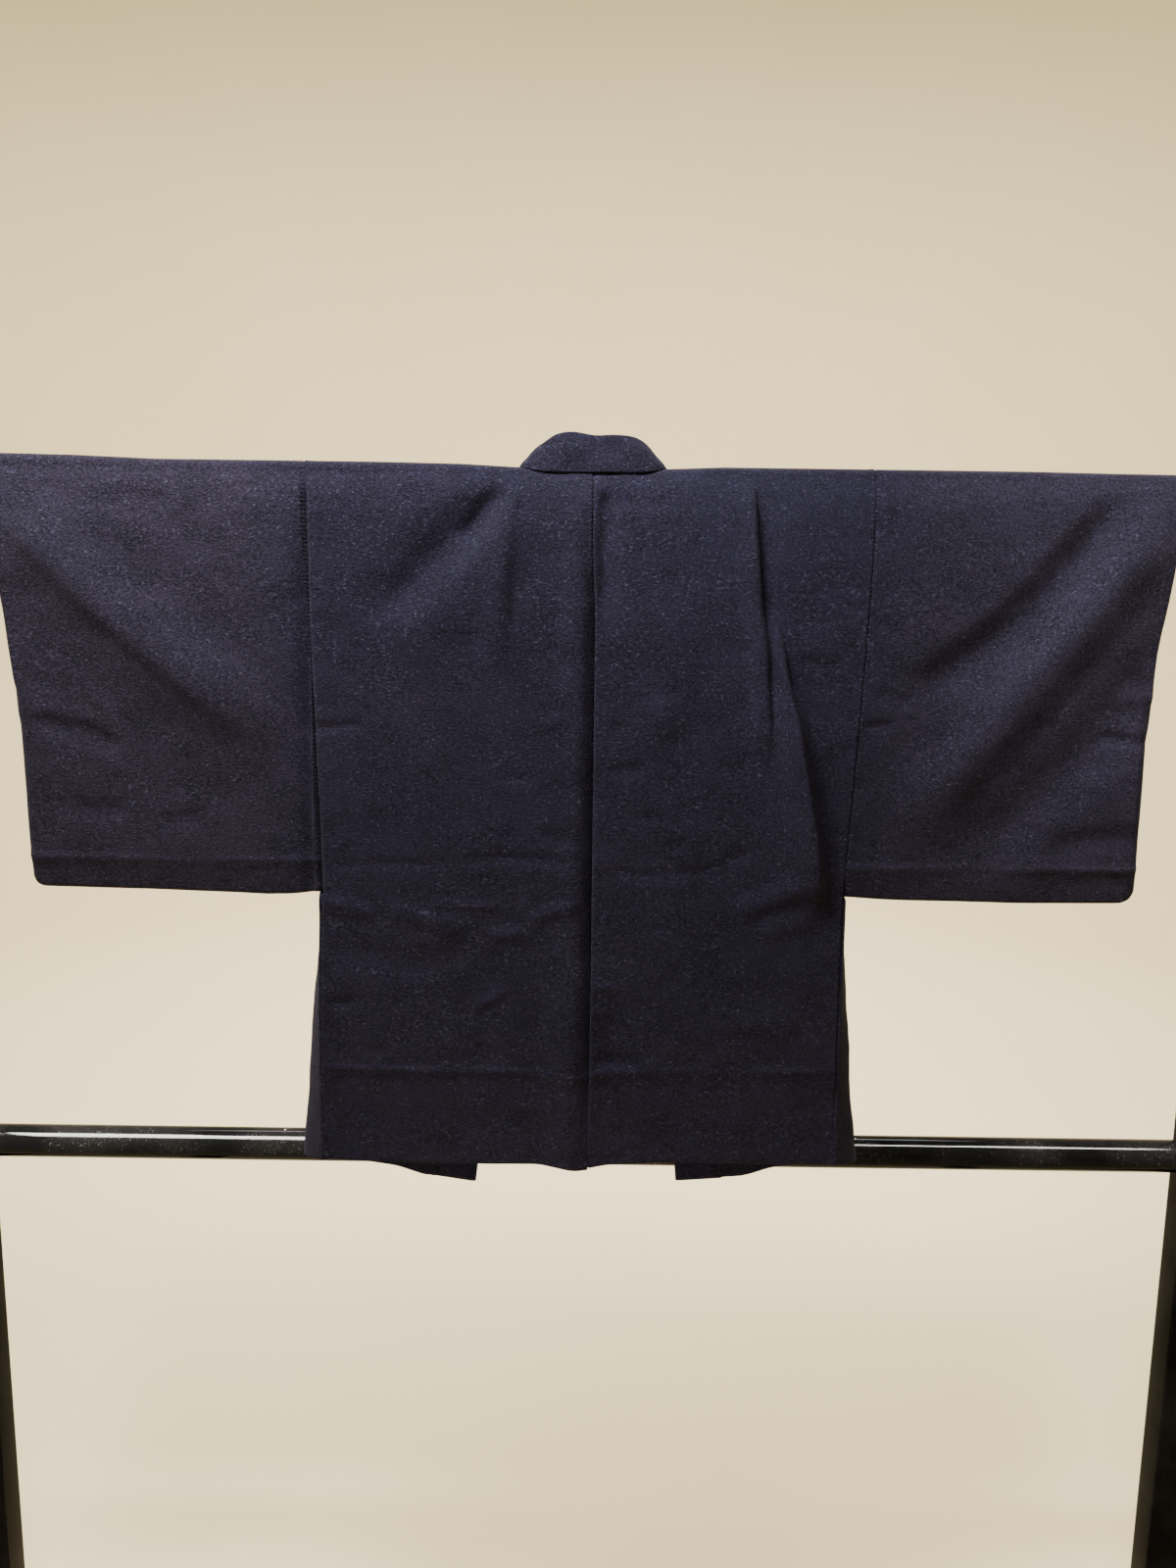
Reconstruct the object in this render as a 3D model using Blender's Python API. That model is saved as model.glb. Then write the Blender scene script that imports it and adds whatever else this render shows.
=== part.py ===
"""A heathered wool haori jacket, hung by its sleeves on a pole across a black kimono stand.

The wearer's back faces -Y. Metres, +Z up. The origin is on the floor, under the middle of the stand.
Across the garment, lengths run from its centre line; down it, they are depths below the shoulder line.
"""

import math
from collections import namedtuple

import bmesh
import bpy
from mathutils import Vector

MM = 0.001

# Cloth
CLOTH = 2.0 * MM
SEAM_GAP = 0.3 * MM
SHOULDER_HEIGHT = 1750 * MM
GARMENT_Y = -80 * MM
NECK_HALF_WIDTH = 86 * MM
NECK_DIP = 3 * MM
NECK_DIP_START = 150 * MM
NECK_SEAM_ANGLE = 41.8
SHOULDER_RADIUS = 11.8 * MM
SLEEVE_DEPTH = 502 * MM
CUFF_OPENING = 268 * MM
SLEEVE_BOTTOM_HALF = 6 * MM
SLEEVE_CLOSE_RUN = 120 * MM
ARM_DEPTH = SLEEVE_DEPTH - SLEEVE_BOTTOM_HALF
SLEEVE_CORNER = 18 * MM
BACK_SPLAY = 7 * MM
FRONT_SPLAY = 12 * MM
BODY_LENGTH = 840 * MM

# Stand
ROD_RADIUS = 9.5 * MM
ROD_LENGTH = 1660 * MM
POST_SIZE = 45 * MM
POST_CENTRE = 812 * MM
POST_TOP = 1790 * MM
POST_EDGE = 6 * MM
RAIL_RADIUS = 21 * MM
RAIL_TOP_HEIGHT = 1672 * MM
RAIL_LOWER_HEIGHT = 881 * MM
FOOT_LENGTH = 400 * MM
FOOT_WIDTH = 64 * MM
FOOT_HEIGHT = 42 * MM
FOOT_EDGE = 8 * MM
REST_WIDTH = 24 * MM
REST_HEIGHT = 34 * MM
REST_LIP = 8 * MM
REST_EDGE = 3 * MM

BACK, FRONT = -1, 1
LEFT, RIGHT = -1, 1
SIDE_NAME = {LEFT: "left", RIGHT: "right"}

# Grid of a cloth piece
NECK_COLUMNS = 3
BODY_COLUMNS = 12
ARM_ROWS = 13
SKIRT_ROWS = 9
SLEEVE_COLUMNS = 10
GUSSET_TURN = (-90, -45, 0, 45, 90)

# Outlines, in mm: a distance from the centre line on each side, at a depth below the shoulder line
Edge = namedtuple("Edge", "depth left right")
SEAM_EDGE = [
    Edge(0, 328, 321),
    Edge(100, 327, 319),
    Edge(206, 324, 316),
    Edge(274, 320, 313),
    Edge(388, 316, 308),
    Edge(496, 312, 303),
    Edge(647, 316, 304),
    Edge(880, 318, 308),
]
SIDE_OUTLINE = [
    Edge(500, 320, 311),
    Edge(589, 326, 316),
    Edge(708, 337, 327),
    Edge(846, 350, 341),
]
CUFF_EDGE = [
    Edge(0, 681, 668),
    Edge(107, 675, 661),
    Edge(205, 666, 652),
    Edge(262, 661, 650),
    Edge(290, 665, 652),
    Edge(400, 664, 654),
    Edge(502, 662, 656),
]
COLLAR_SEAM = [
    Edge(0, 89, 89),
    Edge(60, 96, 95),
    Edge(400, 139, 133),
    Edge(900, 194, 179),
]
COLLAR_WIDTH = [
    Edge(0, 30, 30),
    Edge(50, 46, 46),
    Edge(140, 57, 58),
    Edge(900, 57, 60),
]

# Hem lines, in mm: a depth below the shoulder line at a distance from the centre line
Hem = namedtuple("Hem", "across left right")
BACK_HEM = [Hem(0, 843, 841), Hem(50, 839, 837), Hem(130, 839, 834), Hem(250, 838, 835), Hem(350, 835, 832)]
FRONT_HEM = [Hem(120, 882, 880), Hem(200, 877, 873), Hem(272, 860, 856), Hem(320, 847, 845), Hem(350, 845, 843)]
COLLAR_HEM = [Hem(110, 894, 886), Hem(200, 880, 878)]

# Largest folds, in mm. Each runs on a bowed line; a height above zero stands proud of the layer.
Fold = namedtuple("Fold", "name x0 depth0 x1 depth1 x2 depth2 width_a width_b height")
BACK_FOLDS = [
    Fold("left neck ridge", -95, 40, -170, 120, -262, 235, 42, 52, 9),
    Fold("left neck trough", -105, 15, -165, 75, -245, 165, 26, 30, -6),
    Fold("left sleeve ridge", -672, 30, -500, 160, -335, 300, 60, 60, 9),
    Fold("left sleeve trough", -650, 105, -500, 240, -360, 360, 55, 60, -5),
    Fold("left waist ridge", -310, 505, -150, 535, -12, 518, 22, 34, 5),
    Fold("centre pleat", 3, 40, -3, 420, -8, 850, 30, 26, 6),
    Fold("right shoulder valley", 172, 20, 190, 170, 208, 320, 20, 30, -5),
    Fold("right overlap", 208, 160, 240, 290, 288, 520, 70, 14, 8),
    Fold("right sleeve high trough", 590, 20, 480, 140, 360, 225, 40, 45, -6),
    Fold("right sleeve ridge", 630, 25, 500, 210, 360, 420, 62, 62, 11),
    Fold("right sleeve low trough", 668, 70, 545, 270, 372, 445, 60, 60, -5),
]
FRONT_FOLDS = [
    Fold("left chest ridge", -120, 60, -200, 190, -285, 330, 50, 60, 8),
    Fold("right chest ridge", 130, 50, 190, 200, 270, 380, 46, 56, 9),
    Fold("left sleeve front ridge", -660, 40, -520, 200, -370, 330, 60, 60, 8),
    Fold("right sleeve front ridge", 640, 30, 510, 180, 350, 350, 60, 60, 9),
    Fold("left side ridge", -270, 420, -262, 620, -268, 860, 36, 46, 6),
    Fold("right side ridge", 262, 400, 250, 640, 258, 860, 36, 46, 6),
]
FOLD_STEPS = 10
FOLD_TAPER = 0.22
REST_PROUD = 3 * MM
TOP_CALM = 70 * MM
SEAM_FLAT = 5 * MM
SEAM_CALM = 34 * MM
SETTLE_ROUNDS = 4

Finish = namedtuple("Finish", "name colour roughness metallic")
WOOL = Finish("wool_cloth", (0.042, 0.038, 0.055), 0.95, 0.0)
LACQUER = Finish("black_lacquer", (0.006, 0.005, 0.005), 0.18, 0.0)
POLE = Finish("pole_wood", (0.012, 0.010, 0.009), 0.35, 0.0)


def clamp(value, low=0.0, high=1.0):
    return min(max(value, low), high)


def ease(value):
    """A smooth step from 0 to 1."""
    t = clamp(value)
    return t * t * (3 - 2 * t)


def blend(start, end, share):
    return start + (end - start) * share


def read_table(table, side, at):
    """The value, in metres, of one side of a table at a depth or a distance across."""
    column = 1 if side == LEFT else 2
    at /= MM
    for row, following in zip(table, table[1:]):
        if at <= following[0] or following is table[-1]:
            share = clamp((at - row[0]) / (following[0] - row[0]))
            return blend(row[column], following[column], share) * MM


def fold_points(fold):
    """Points along the bowed line of a fold."""
    points = []
    for step in range(FOLD_STEPS + 1):
        t = step / FOLD_STEPS
        x = (1 - t) ** 2 * fold.x0 + 2 * t * (1 - t) * fold.x1 + t * t * fold.x2
        depth = (1 - t) ** 2 * fold.depth0 + 2 * t * (1 - t) * fold.depth1 + t * t * fold.depth2
        points.append((x * MM, depth * MM))
    return points


FOLD_LINES = {fold: fold_points(fold) for fold in BACK_FOLDS + FRONT_FOLDS}


def fold_height(fold, x, depth):
    """How far one fold lifts the cloth at a point: a cosine across its line, tapered at both ends."""
    nearest, offset, place = None, 0.0, 0.0
    line = FOLD_LINES[fold]
    for index, (start, end) in enumerate(zip(line, line[1:])):
        along_x, along_d = end[0] - start[0], end[1] - start[1]
        length = math.hypot(along_x, along_d)
        to_x, to_d = x - start[0], depth - start[1]
        share = clamp((to_x * along_x + to_d * along_d) / length**2)
        gap = math.hypot(to_x - share * along_x, to_d - share * along_d)
        if nearest is None or gap < nearest:
            nearest = gap
            offset = along_x * to_d - along_d * to_x
            place = (index + share) / FOLD_STEPS
    width = (fold.width_a if offset > 0 else fold.width_b) * MM
    if nearest >= width:
        return 0.0
    across = 0.5 + 0.5 * math.cos(math.pi * nearest / width)
    ends = ease(place / FOLD_TAPER) * ease((1 - place) / FOLD_TAPER)
    return fold.height * MM * across * ends


def seam_edge(side, depth):
    return read_table(SEAM_EDGE, side, depth)


def neck_dip(x):
    """The shoulder line sinks a little towards the neck."""
    return NECK_DIP * ease((NECK_DIP_START - abs(x)) / (NECK_DIP_START - NECK_HALF_WIDTH))


def proud(layer, x, depth):
    """How far the back or front layer stands out, away from the other one."""
    folds = BACK_FOLDS if layer == BACK else FRONT_FOLDS
    side = LEFT if x < 0 else RIGHT
    if abs(x) <= SEAM_FLAT:
        x = 0.0
    lift = REST_PROUD + sum(fold_height(fold, x, depth) for fold in folds)
    from_seam = abs(abs(x) - seam_edge(side, depth))
    if layer == FRONT:
        from_seam = min(from_seam, abs(abs(x) - read_table(COLLAR_SEAM, side, depth)))
    calm = ease((from_seam - SEAM_FLAT) / SEAM_CALM)
    lift = blend(REST_PROUD, lift, calm)
    return max(lift, 0.0) * ease((depth - 2 * SHOULDER_RADIUS) / TOP_CALM)


def layer_y(layer, x, depth):
    """Where the middle of the back or front layer hangs, in front of or behind the pole."""
    side = LEFT if x < 0 else RIGHT
    splay = BACK_SPLAY if layer == BACK else FRONT_SPLAY
    half = SHOULDER_RADIUS + splay * clamp(depth / BODY_LENGTH)
    outward = clamp((abs(x) - seam_edge(side, depth)) / SLEEVE_CLOSE_RUN)
    down = clamp(depth / SLEEVE_DEPTH)
    half = blend(half, SLEEVE_BOTTOM_HALF, ease(outward) * down**2)
    return layer * (half + proud(layer, x, depth))


# A row across a strip. Over the pole it has an angle from the top, and below that a drop:
# 0 to 1 beside the sleeve, 1 to 2 from the sleeve's bottom to the hem.
Row = namedtuple("Row", "layer angle drop")
ARM_DROPS = [index / ARM_ROWS for index in range(ARM_ROWS + 1)]
SKIRT_DROPS = [1 + (index + 1) / SKIRT_ROWS for index in range(SKIRT_ROWS)]


def strip_rows(drops, over_back):
    """Rows from the lowest back one, up, over the pole and down to the lowest front one."""
    rows = [Row(BACK, 90, drop) for drop in reversed(drops)]
    rows += [Row(BACK, over_back, 0), Row(FRONT, 0, 0), Row(FRONT, 45, 0)]
    rows += [Row(FRONT, 90, drop) for drop in drops]
    return rows


def row_depth(row, x, hem):
    """How far below the shoulder line a row lies at x."""
    top = SHOULDER_RADIUS + CLOTH / 2 + neck_dip(x)
    if row.angle < 90:
        return top - SHOULDER_RADIUS * math.cos(math.radians(row.angle))
    if row.drop <= 1:
        return blend(top, ARM_DEPTH, row.drop)
    return blend(ARM_DEPTH, hem, row.drop - 1)


def row_point(row, x, hem=ARM_DEPTH):
    """The point of a row at x, where the layer hangs down to the hem."""
    depth = row_depth(row, x, hem)
    y = layer_y(row.layer, x, depth)
    if row.angle < 90:
        y = row.layer * SHOULDER_RADIUS * math.sin(math.radians(row.angle))
    return placed(x, y, depth)


def placed(x, y, depth):
    return Vector((x, GARMENT_Y + y, SHOULDER_HEIGHT - depth))


def sheet_grid(columns, rows):
    """A flat bmesh grid and, for each of its points, the column and row it is in."""
    mesh = bmesh.new()
    bmesh.ops.create_grid(mesh, x_segments=columns, y_segments=rows, size=0.5)
    place_of = {}
    for vert in mesh.verts:
        column = round((vert.co.x + 0.5) * columns)
        row = round((vert.co.y + 0.5) * rows)
        place_of[vert] = (column, row)
    return mesh, place_of


def finish_material(finish):
    material = bpy.data.materials.get(finish.name)
    if material is None:
        material = bpy.data.materials.new(finish.name)
        material.use_nodes = True
        shader = material.node_tree.nodes["Principled BSDF"]
        shader.inputs["Base Color"].default_value = (*finish.colour, 1)
        shader.inputs["Roughness"].default_value = finish.roughness
        shader.inputs["Metallic"].default_value = finish.metallic
        material.diffuse_color = (*finish.colour, 1)
    return material


def add_object(name, mesh, finish):
    data = bpy.data.meshes.new(name)
    mesh.to_mesh(data)
    mesh.free()
    data.materials.append(finish_material(finish))
    made = bpy.data.objects.new(name, data)
    bpy.context.scene.collection.objects.link(made)
    return made


def add_cloth(name, mesh, thickness=CLOTH):
    """An object with a wall: half the thickness on each side of the modelled surface."""
    bmesh.ops.remove_doubles(mesh, verts=mesh.verts, dist=0.02 * MM)
    bmesh.ops.recalc_face_normals(mesh, faces=mesh.faces)
    made = add_object(name, mesh, WOOL)
    wall = made.modifiers.new("wall", "SOLIDIFY")
    wall.thickness = thickness
    wall.offset = 0.0
    return made


def between_seams(inner, outer, column, columns):
    """A column's place between two seams, with a narrow flat column beside each seam."""
    if column == 0:
        return inner
    if column == columns:
        return outer
    return blend(inner + SEAM_FLAT, outer - SEAM_FLAT, (column - 1) / (columns - 2))


def body_column(row, column, side, depth):
    """How far from the centre line a column of a body strip runs at a depth."""
    if column == 0:
        return SEAM_GAP / 2
    if column < NECK_COLUMNS:
        return blend(SEAM_FLAT, NECK_HALF_WIDTH, (column - 1) / (NECK_COLUMNS - 1))
    inner = NECK_HALF_WIDTH
    if row.layer == FRONT:
        inner = read_table(COLLAR_SEAM, side, depth) + SEAM_GAP
    outer = seam_edge(side, depth)
    return between_seams(inner, outer, column - NECK_COLUMNS, BODY_COLUMNS - NECK_COLUMNS)


def body_strip(side):
    """Back and front of one half in a single length of cloth, slit at the neck."""
    rows = strip_rows(ARM_DROPS + SKIRT_DROPS, NECK_SEAM_ANGLE)
    neck_row = len(ARM_DROPS + SKIRT_DROPS)
    mesh, place_of = sheet_grid(BODY_COLUMNS, len(rows) - 1)
    in_slit = []
    for vert, (column, index) in place_of.items():
        row = rows[index]
        if column < NECK_COLUMNS and index > neck_row:
            in_slit.append(vert)
            continue
        hem_line = BACK_HEM if row.layer == BACK else FRONT_HEM
        x, hem = NECK_HALF_WIDTH, BODY_LENGTH
        for _ in range(SETTLE_ROUNDS):
            x = body_column(row, column, side, row_depth(row, x, hem))
            hem = read_table(hem_line, side, x)
        vert.co = row_point(row, side * x, hem)
    bmesh.ops.delete(mesh, geom=in_slit, context="VERTS")
    return add_cloth(f"body_{SIDE_NAME[side]}", mesh)


def sleeve(side):
    """One folded length: a flat tube, open at the armhole and, above the cuff seam, at the wrist."""
    rows = strip_rows(ARM_DROPS, NECK_SEAM_ANGLE)
    rows = [rows[0]] + rows + [rows[-1]]
    bottom_rows = (0, len(rows) - 1)
    mesh, place_of = sheet_grid(SLEEVE_COLUMNS, len(rows) - 1)
    for vert, (column, index) in place_of.items():
        row = rows[index]
        x = NECK_DIP_START
        for _ in range(SETTLE_ROUNDS):
            depth = row_depth(row, x, ARM_DEPTH)
            if index in bottom_rows:
                depth = SLEEVE_DEPTH
            below_corner = max(depth - (SLEEVE_DEPTH - SLEEVE_CORNER), 0)
            rounding = SLEEVE_CORNER - math.sqrt(max(SLEEVE_CORNER**2 - below_corner**2, 0))
            outer = read_table(CUFF_EDGE, side, depth) - rounding
            x = between_seams(seam_edge(side, depth) + SEAM_GAP, outer, column, SLEEVE_COLUMNS)
        vert.co = row_point(row, side * x)
        if index in bottom_rows:
            vert.co = placed(side * x, 0, depth)
        elif column == SLEEVE_COLUMNS and depth > CUFF_OPENING:
            vert.co.y = GARMENT_Y
    return add_cloth(f"sleeve_{SIDE_NAME[side]}", mesh)


def gusset(side):
    """The side wedge, bowed outwards between the edges of the back and the front."""
    columns = len(GUSSET_TURN) + 1
    mesh, place_of = sheet_grid(columns, SKIRT_ROWS)
    top = SLEEVE_DEPTH + CLOTH
    for vert, (column, index) in place_of.items():
        share = column / columns
        edge = seam_edge(side, BODY_LENGTH)
        hem = blend(read_table(BACK_HEM, side, edge), read_table(FRONT_HEM, side, edge), share)
        depth = max(blend(ARM_DEPTH, hem, index / SKIRT_ROWS), top)
        x = seam_edge(side, depth) + SEAM_GAP
        back_y = layer_y(BACK, side * x, depth)
        front_y = layer_y(FRONT, side * x, depth)
        y = back_y if column == 0 else front_y
        if 0 < column < columns:
            turn = math.radians(GUSSET_TURN[column - 1])
            start = x + SEAM_FLAT / 2
            bulge = read_table(SIDE_OUTLINE, side, depth) - CLOTH / 2 - start
            x = start + bulge * math.cos(turn)
            y = blend(back_y, front_y, (1 + math.sin(turn)) / 2)
        vert.co = placed(side * x, y, depth)
    return add_cloth(f"gusset_{SIDE_NAME[side]}", mesh)


# Collar. From the back of the neck the band stands up from its seam, folds outwards and falls again.
# Each station has the seam's place, then the direction and width from the seam to the folded edge, in mm.
Station = namedtuple("Station", "seam_x seam_y seam_depth edge_x edge_y edge_rise")
NECK_STATIONS = [
    Station(0, -9.4, 6, 0, -1, 41),
    Station(25, -9.4, 6, -2, -1, 43),
    Station(50, -9.2, 6, -8, 0, 40),
    Station(70, -8.6, 6, -17, 3, 34),
    Station(80, -6.0, 4, -21, 8, 28),
    Station(85.5, 0.0, 1.5, -23, 12, 23),
    Station(87.5, 8.5, 6, -25, 12, 21),
    Station(88.5, 12.0, 18, -29, 10, 18),
]
# Across the folded band: share of its width from the seam, and share of the layers' spacing outwards
BAND_PROFILE = [(0.0, 0.0), (0.5, 0.0), (0.93, 0.0), (1.0, 0.5), (0.93, 1.0), (0.5, 1.25), (0.05, 1.5)]
BAND_SPACING = 3.4 * MM
COLLAR_CLOTH = 2.4 * MM
COLLAR_TURN_END = 120 * MM
COLLAR_LIFT = 1.5 * MM


def collar_sections(side):
    """Seam points and edge directions from the middle of the neck to the front hem."""
    sections = []
    for station in NECK_STATIONS:
        seam = Vector((side * station.seam_x, station.seam_y, -station.seam_depth)) * MM
        reach = Vector((side * station.edge_x, station.edge_y, station.edge_rise)) * MM
        sections.append((seam, reach))
    for drop in (ARM_DROPS + SKIRT_DROPS)[1:]:
        x, depth = NECK_HALF_WIDTH, 0
        for _ in range(SETTLE_ROUNDS):
            hem = read_table(COLLAR_HEM, side, x)
            depth = row_depth(Row(FRONT, 90, drop), x, hem)
            x = read_table(COLLAR_SEAM, side, depth)
        width = read_table(COLLAR_WIDTH, side, depth)
        y = layer_y(FRONT, side * x, depth)
        turn = 1 - ease(depth / COLLAR_TURN_END)
        slope = (read_table(COLLAR_HEM, side, x - width) - hem) * depth / BODY_LENGTH
        reach = Vector((-side * width, COLLAR_LIFT + 9 * MM * turn, 14 * MM * turn - slope))
        sections.append((Vector((side * x, y, -depth)), reach))
    return sections


def collar():
    """The whole band, from one front hem round the neck to the other."""
    right = collar_sections(RIGHT)
    left = collar_sections(LEFT)
    sections = left[:0:-1] + right
    mesh, place_of = sheet_grid(len(BAND_PROFILE) - 1, len(sections) - 1)
    for vert, (column, index) in place_of.items():
        seam, reach = sections[index]
        before = sections[max(index - 1, 0)][0]
        after = sections[min(index + 1, len(sections) - 1)][0]
        outward = (after - before).cross(reach).normalized()
        share, layers = BAND_PROFILE[column]
        point = seam + reach * share + outward * layers * BAND_SPACING
        vert.co = placed(point.x, point.y, -point.z)
    return add_cloth("collar", mesh, COLLAR_CLOTH)


def round_bar(name, radius, length, centre, finish, edge):
    """A turned bar along X, its ends eased."""
    mesh = bmesh.new()
    bmesh.ops.create_cone(
        mesh, cap_ends=True, segments=28, radius1=radius, radius2=radius, depth=length
    )
    rims = [e for e in mesh.edges if abs(e.verts[0].co.z - e.verts[1].co.z) < MM]
    bmesh.ops.bevel(
        mesh, geom=rims, offset=edge, segments=2, profile=0.5, affect="EDGES", material=-1
    )
    made = add_object(name, mesh, finish)
    made.rotation_euler = (0, math.pi / 2, 0)
    made.location = centre
    made.data.shade_smooth()
    return made


def block(name, size, centre, finish, edge):
    """A planed block with eased edges."""
    mesh = bmesh.new()
    bmesh.ops.create_cube(mesh, size=1.0)
    bmesh.ops.scale(mesh, vec=size, verts=mesh.verts)
    bmesh.ops.bevel(
        mesh, geom=mesh.edges[:], offset=edge, segments=2, profile=0.5, affect="EDGES", material=-1
    )
    made = add_object(name, mesh, finish)
    made.location = centre
    return made


def cut(target, cutter):
    """Subtract one object from another and leave the cutter as a guide."""
    cutter.hide_render = True
    cutter.display_type = "WIRE"
    opening = target.modifiers.new("cut", "BOOLEAN")
    opening.operation = "DIFFERENCE"
    opening.object = cutter


def stand():
    """Two posts on cross feet, two rails between them and a notched rest for the pole on each post."""
    pole_height = SHOULDER_HEIGHT - (SHOULDER_RADIUS + CLOTH / 2 + NECK_DIP)
    rail_length = 2 * (POST_CENTRE - POST_SIZE / 2 - SEAM_GAP)
    round_bar("rail_top", RAIL_RADIUS, rail_length, (0, 0, RAIL_TOP_HEIGHT), LACQUER, SEAM_GAP)
    round_bar("rail_lower", RAIL_RADIUS, rail_length, (0, 0, RAIL_LOWER_HEIGHT), LACQUER, SEAM_GAP)
    round_bar("sleeve_rod", ROD_RADIUS, ROD_LENGTH, (0, GARMENT_Y, pole_height), POLE, 2 * MM)
    for side in (LEFT, RIGHT):
        name = SIDE_NAME[side]
        x = side * POST_CENTRE
        post_bottom = FOOT_HEIGHT + SEAM_GAP
        post_size = (POST_SIZE, POST_SIZE, POST_TOP - post_bottom)
        post_centre = (x, 0, (POST_TOP + post_bottom) / 2)
        block(f"post_{name}", post_size, post_centre, LACQUER, POST_EDGE)
        foot_size = (FOOT_WIDTH, FOOT_LENGTH, FOOT_HEIGHT)
        block(f"foot_{name}", foot_size, (x, 0, FOOT_HEIGHT / 2), LACQUER, FOOT_EDGE)
        rest_end = GARMENT_Y - ROD_RADIUS - REST_LIP
        rest_start = -POST_SIZE / 2 - SEAM_GAP
        rest_size = (REST_WIDTH, rest_start - rest_end, REST_HEIGHT)
        rest_centre = (x, (rest_start + rest_end) / 2, pole_height - REST_HEIGHT / 2 + ROD_RADIUS / 2)
        rest = block(f"rod_rest_{name}", rest_size, rest_centre, LACQUER, REST_EDGE)
        notch_radius = ROD_RADIUS + SEAM_GAP
        for part_name, lift in (("notch", 0), ("mouth", notch_radius)):
            cutter = round_bar(
                f"{part_name}_{name}",
                notch_radius,
                2 * REST_WIDTH,
                (x, GARMENT_Y, pole_height + lift),
                LACQUER,
                SEAM_GAP,
            )
            cut(rest, cutter)


def clear_scene():
    for old in list(bpy.data.objects):
        bpy.data.objects.remove(old)


def main():
    clear_scene()
    for side in (LEFT, RIGHT):
        body_strip(side)
        sleeve(side)
        gusset(side)
    collar()
    stand()


main()
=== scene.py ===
# %% [markdown]
# # A wool haori on a kimono stand
# A haori is the open jacket that goes over a kimono. This one, a man's in dark heathered wool, hangs on a
# pole through its sleeves across a stand of black lacquered wood. A tailor cuts it from one narrow bolt:
# two body lengths that go over the shoulders from hem to hem, two folded sleeves, two side gussets and one
# long collar band. This lesson makes the same strips as grids and lays each of them where it hangs.

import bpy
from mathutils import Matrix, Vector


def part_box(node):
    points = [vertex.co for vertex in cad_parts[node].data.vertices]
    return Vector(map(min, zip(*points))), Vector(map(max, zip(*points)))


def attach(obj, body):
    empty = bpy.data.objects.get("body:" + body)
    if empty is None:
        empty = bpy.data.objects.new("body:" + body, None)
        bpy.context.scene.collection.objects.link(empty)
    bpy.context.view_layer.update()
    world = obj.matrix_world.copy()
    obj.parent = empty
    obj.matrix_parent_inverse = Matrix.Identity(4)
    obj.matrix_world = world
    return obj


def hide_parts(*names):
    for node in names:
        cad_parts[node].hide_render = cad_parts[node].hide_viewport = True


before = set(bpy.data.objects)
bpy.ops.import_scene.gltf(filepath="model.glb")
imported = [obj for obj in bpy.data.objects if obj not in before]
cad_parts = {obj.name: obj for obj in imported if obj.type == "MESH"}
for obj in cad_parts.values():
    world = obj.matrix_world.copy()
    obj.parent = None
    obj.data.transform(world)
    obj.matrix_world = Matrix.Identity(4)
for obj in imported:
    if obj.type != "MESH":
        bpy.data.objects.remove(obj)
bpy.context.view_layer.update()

import math
from collections import namedtuple

import bmesh
import bpy
import numpy as np
from mathutils import Matrix, Vector, noise

MM = 0.001
BACK, FRONT = -1, 1
LEFT, RIGHT = -1, 1
SIDE_NAME = {LEFT: "left", RIGHT: "right"}
print("frame:", ", ".join(sorted(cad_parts)))

# %% [markdown]
# ## Camera
# The camera stands a metre and a half behind the jacket, under shoulder height, and looks a little down.
# Its three directions are worked out first and become the columns of its matrix.

# %% Place the camera
EYE = Vector((0, -1.463, 1.606))
TILT = math.radians(9.2)
ROLL = math.radians(0.8)
LENS = 27.05
FARTHEST = 60


def placed(name, data):
    """An object of some data, in the scene."""
    made = bpy.data.objects.new(name, data)
    bpy.context.scene.collection.objects.link(made)
    return made


forward = Vector((0, math.cos(TILT), -math.sin(TILT)))
level_up = Vector((0, math.sin(TILT), math.cos(TILT)))
sideways = math.cos(ROLL) * Vector((1, 0, 0)) + math.sin(ROLL) * level_up
camera = placed("camera", bpy.data.cameras.new("camera"))
camera.data.lens = LENS
camera.data.clip_end = FARTHEST
axes = Matrix((sideways, sideways.cross(forward), -forward)).transposed()
camera.matrix_world = Matrix.Translation(EYE) @ axes.to_4x4()
bpy.context.scene.camera = camera
print("camera looks down by", round(math.degrees(TILT), 1), "degrees")

# %% [markdown]
# ## Shader sums
# A finish is easier to read as a sum than as a web of nodes. A small class wraps a socket, so that
# `0.4 + 0.6 * mask` adds its Math nodes by itself. Every other node comes from one method.

# %% Write finishes as sums
class Varying:
    """A value that varies over a surface. Python's operators add Math nodes to it."""

    def __init__(self, finish, socket):
        self.finish = finish
        self.socket = socket

    def math(self, operation, first, second=0.0):
        return self.finish.node("ShaderNodeMath", {"operation": operation}, {0: first, 1: second})

    def size(self):
        return self.math("ABSOLUTE", self)

    def ramp(self, low, high):
        """0 at low and 1 at high."""
        sockets = {"Value": self, "From Min": low, "From Max": high}
        return self.finish.node("ShaderNodeMapRange", {}, sockets)

    def part(self, axis):
        """One part of a vector."""
        return self.finish.node("ShaderNodeSeparateXYZ", {}, {0: self}, axis)

    def wave(self, per_metre):
        return self.math("SINE", self * (per_metre * math.tau))

    def __add__(self, other):
        return self.math("ADD", self, other)

    def __mul__(self, other):
        return self.math("MULTIPLY", self, other)

    __radd__ = __add__
    __rmul__ = __mul__


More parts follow.
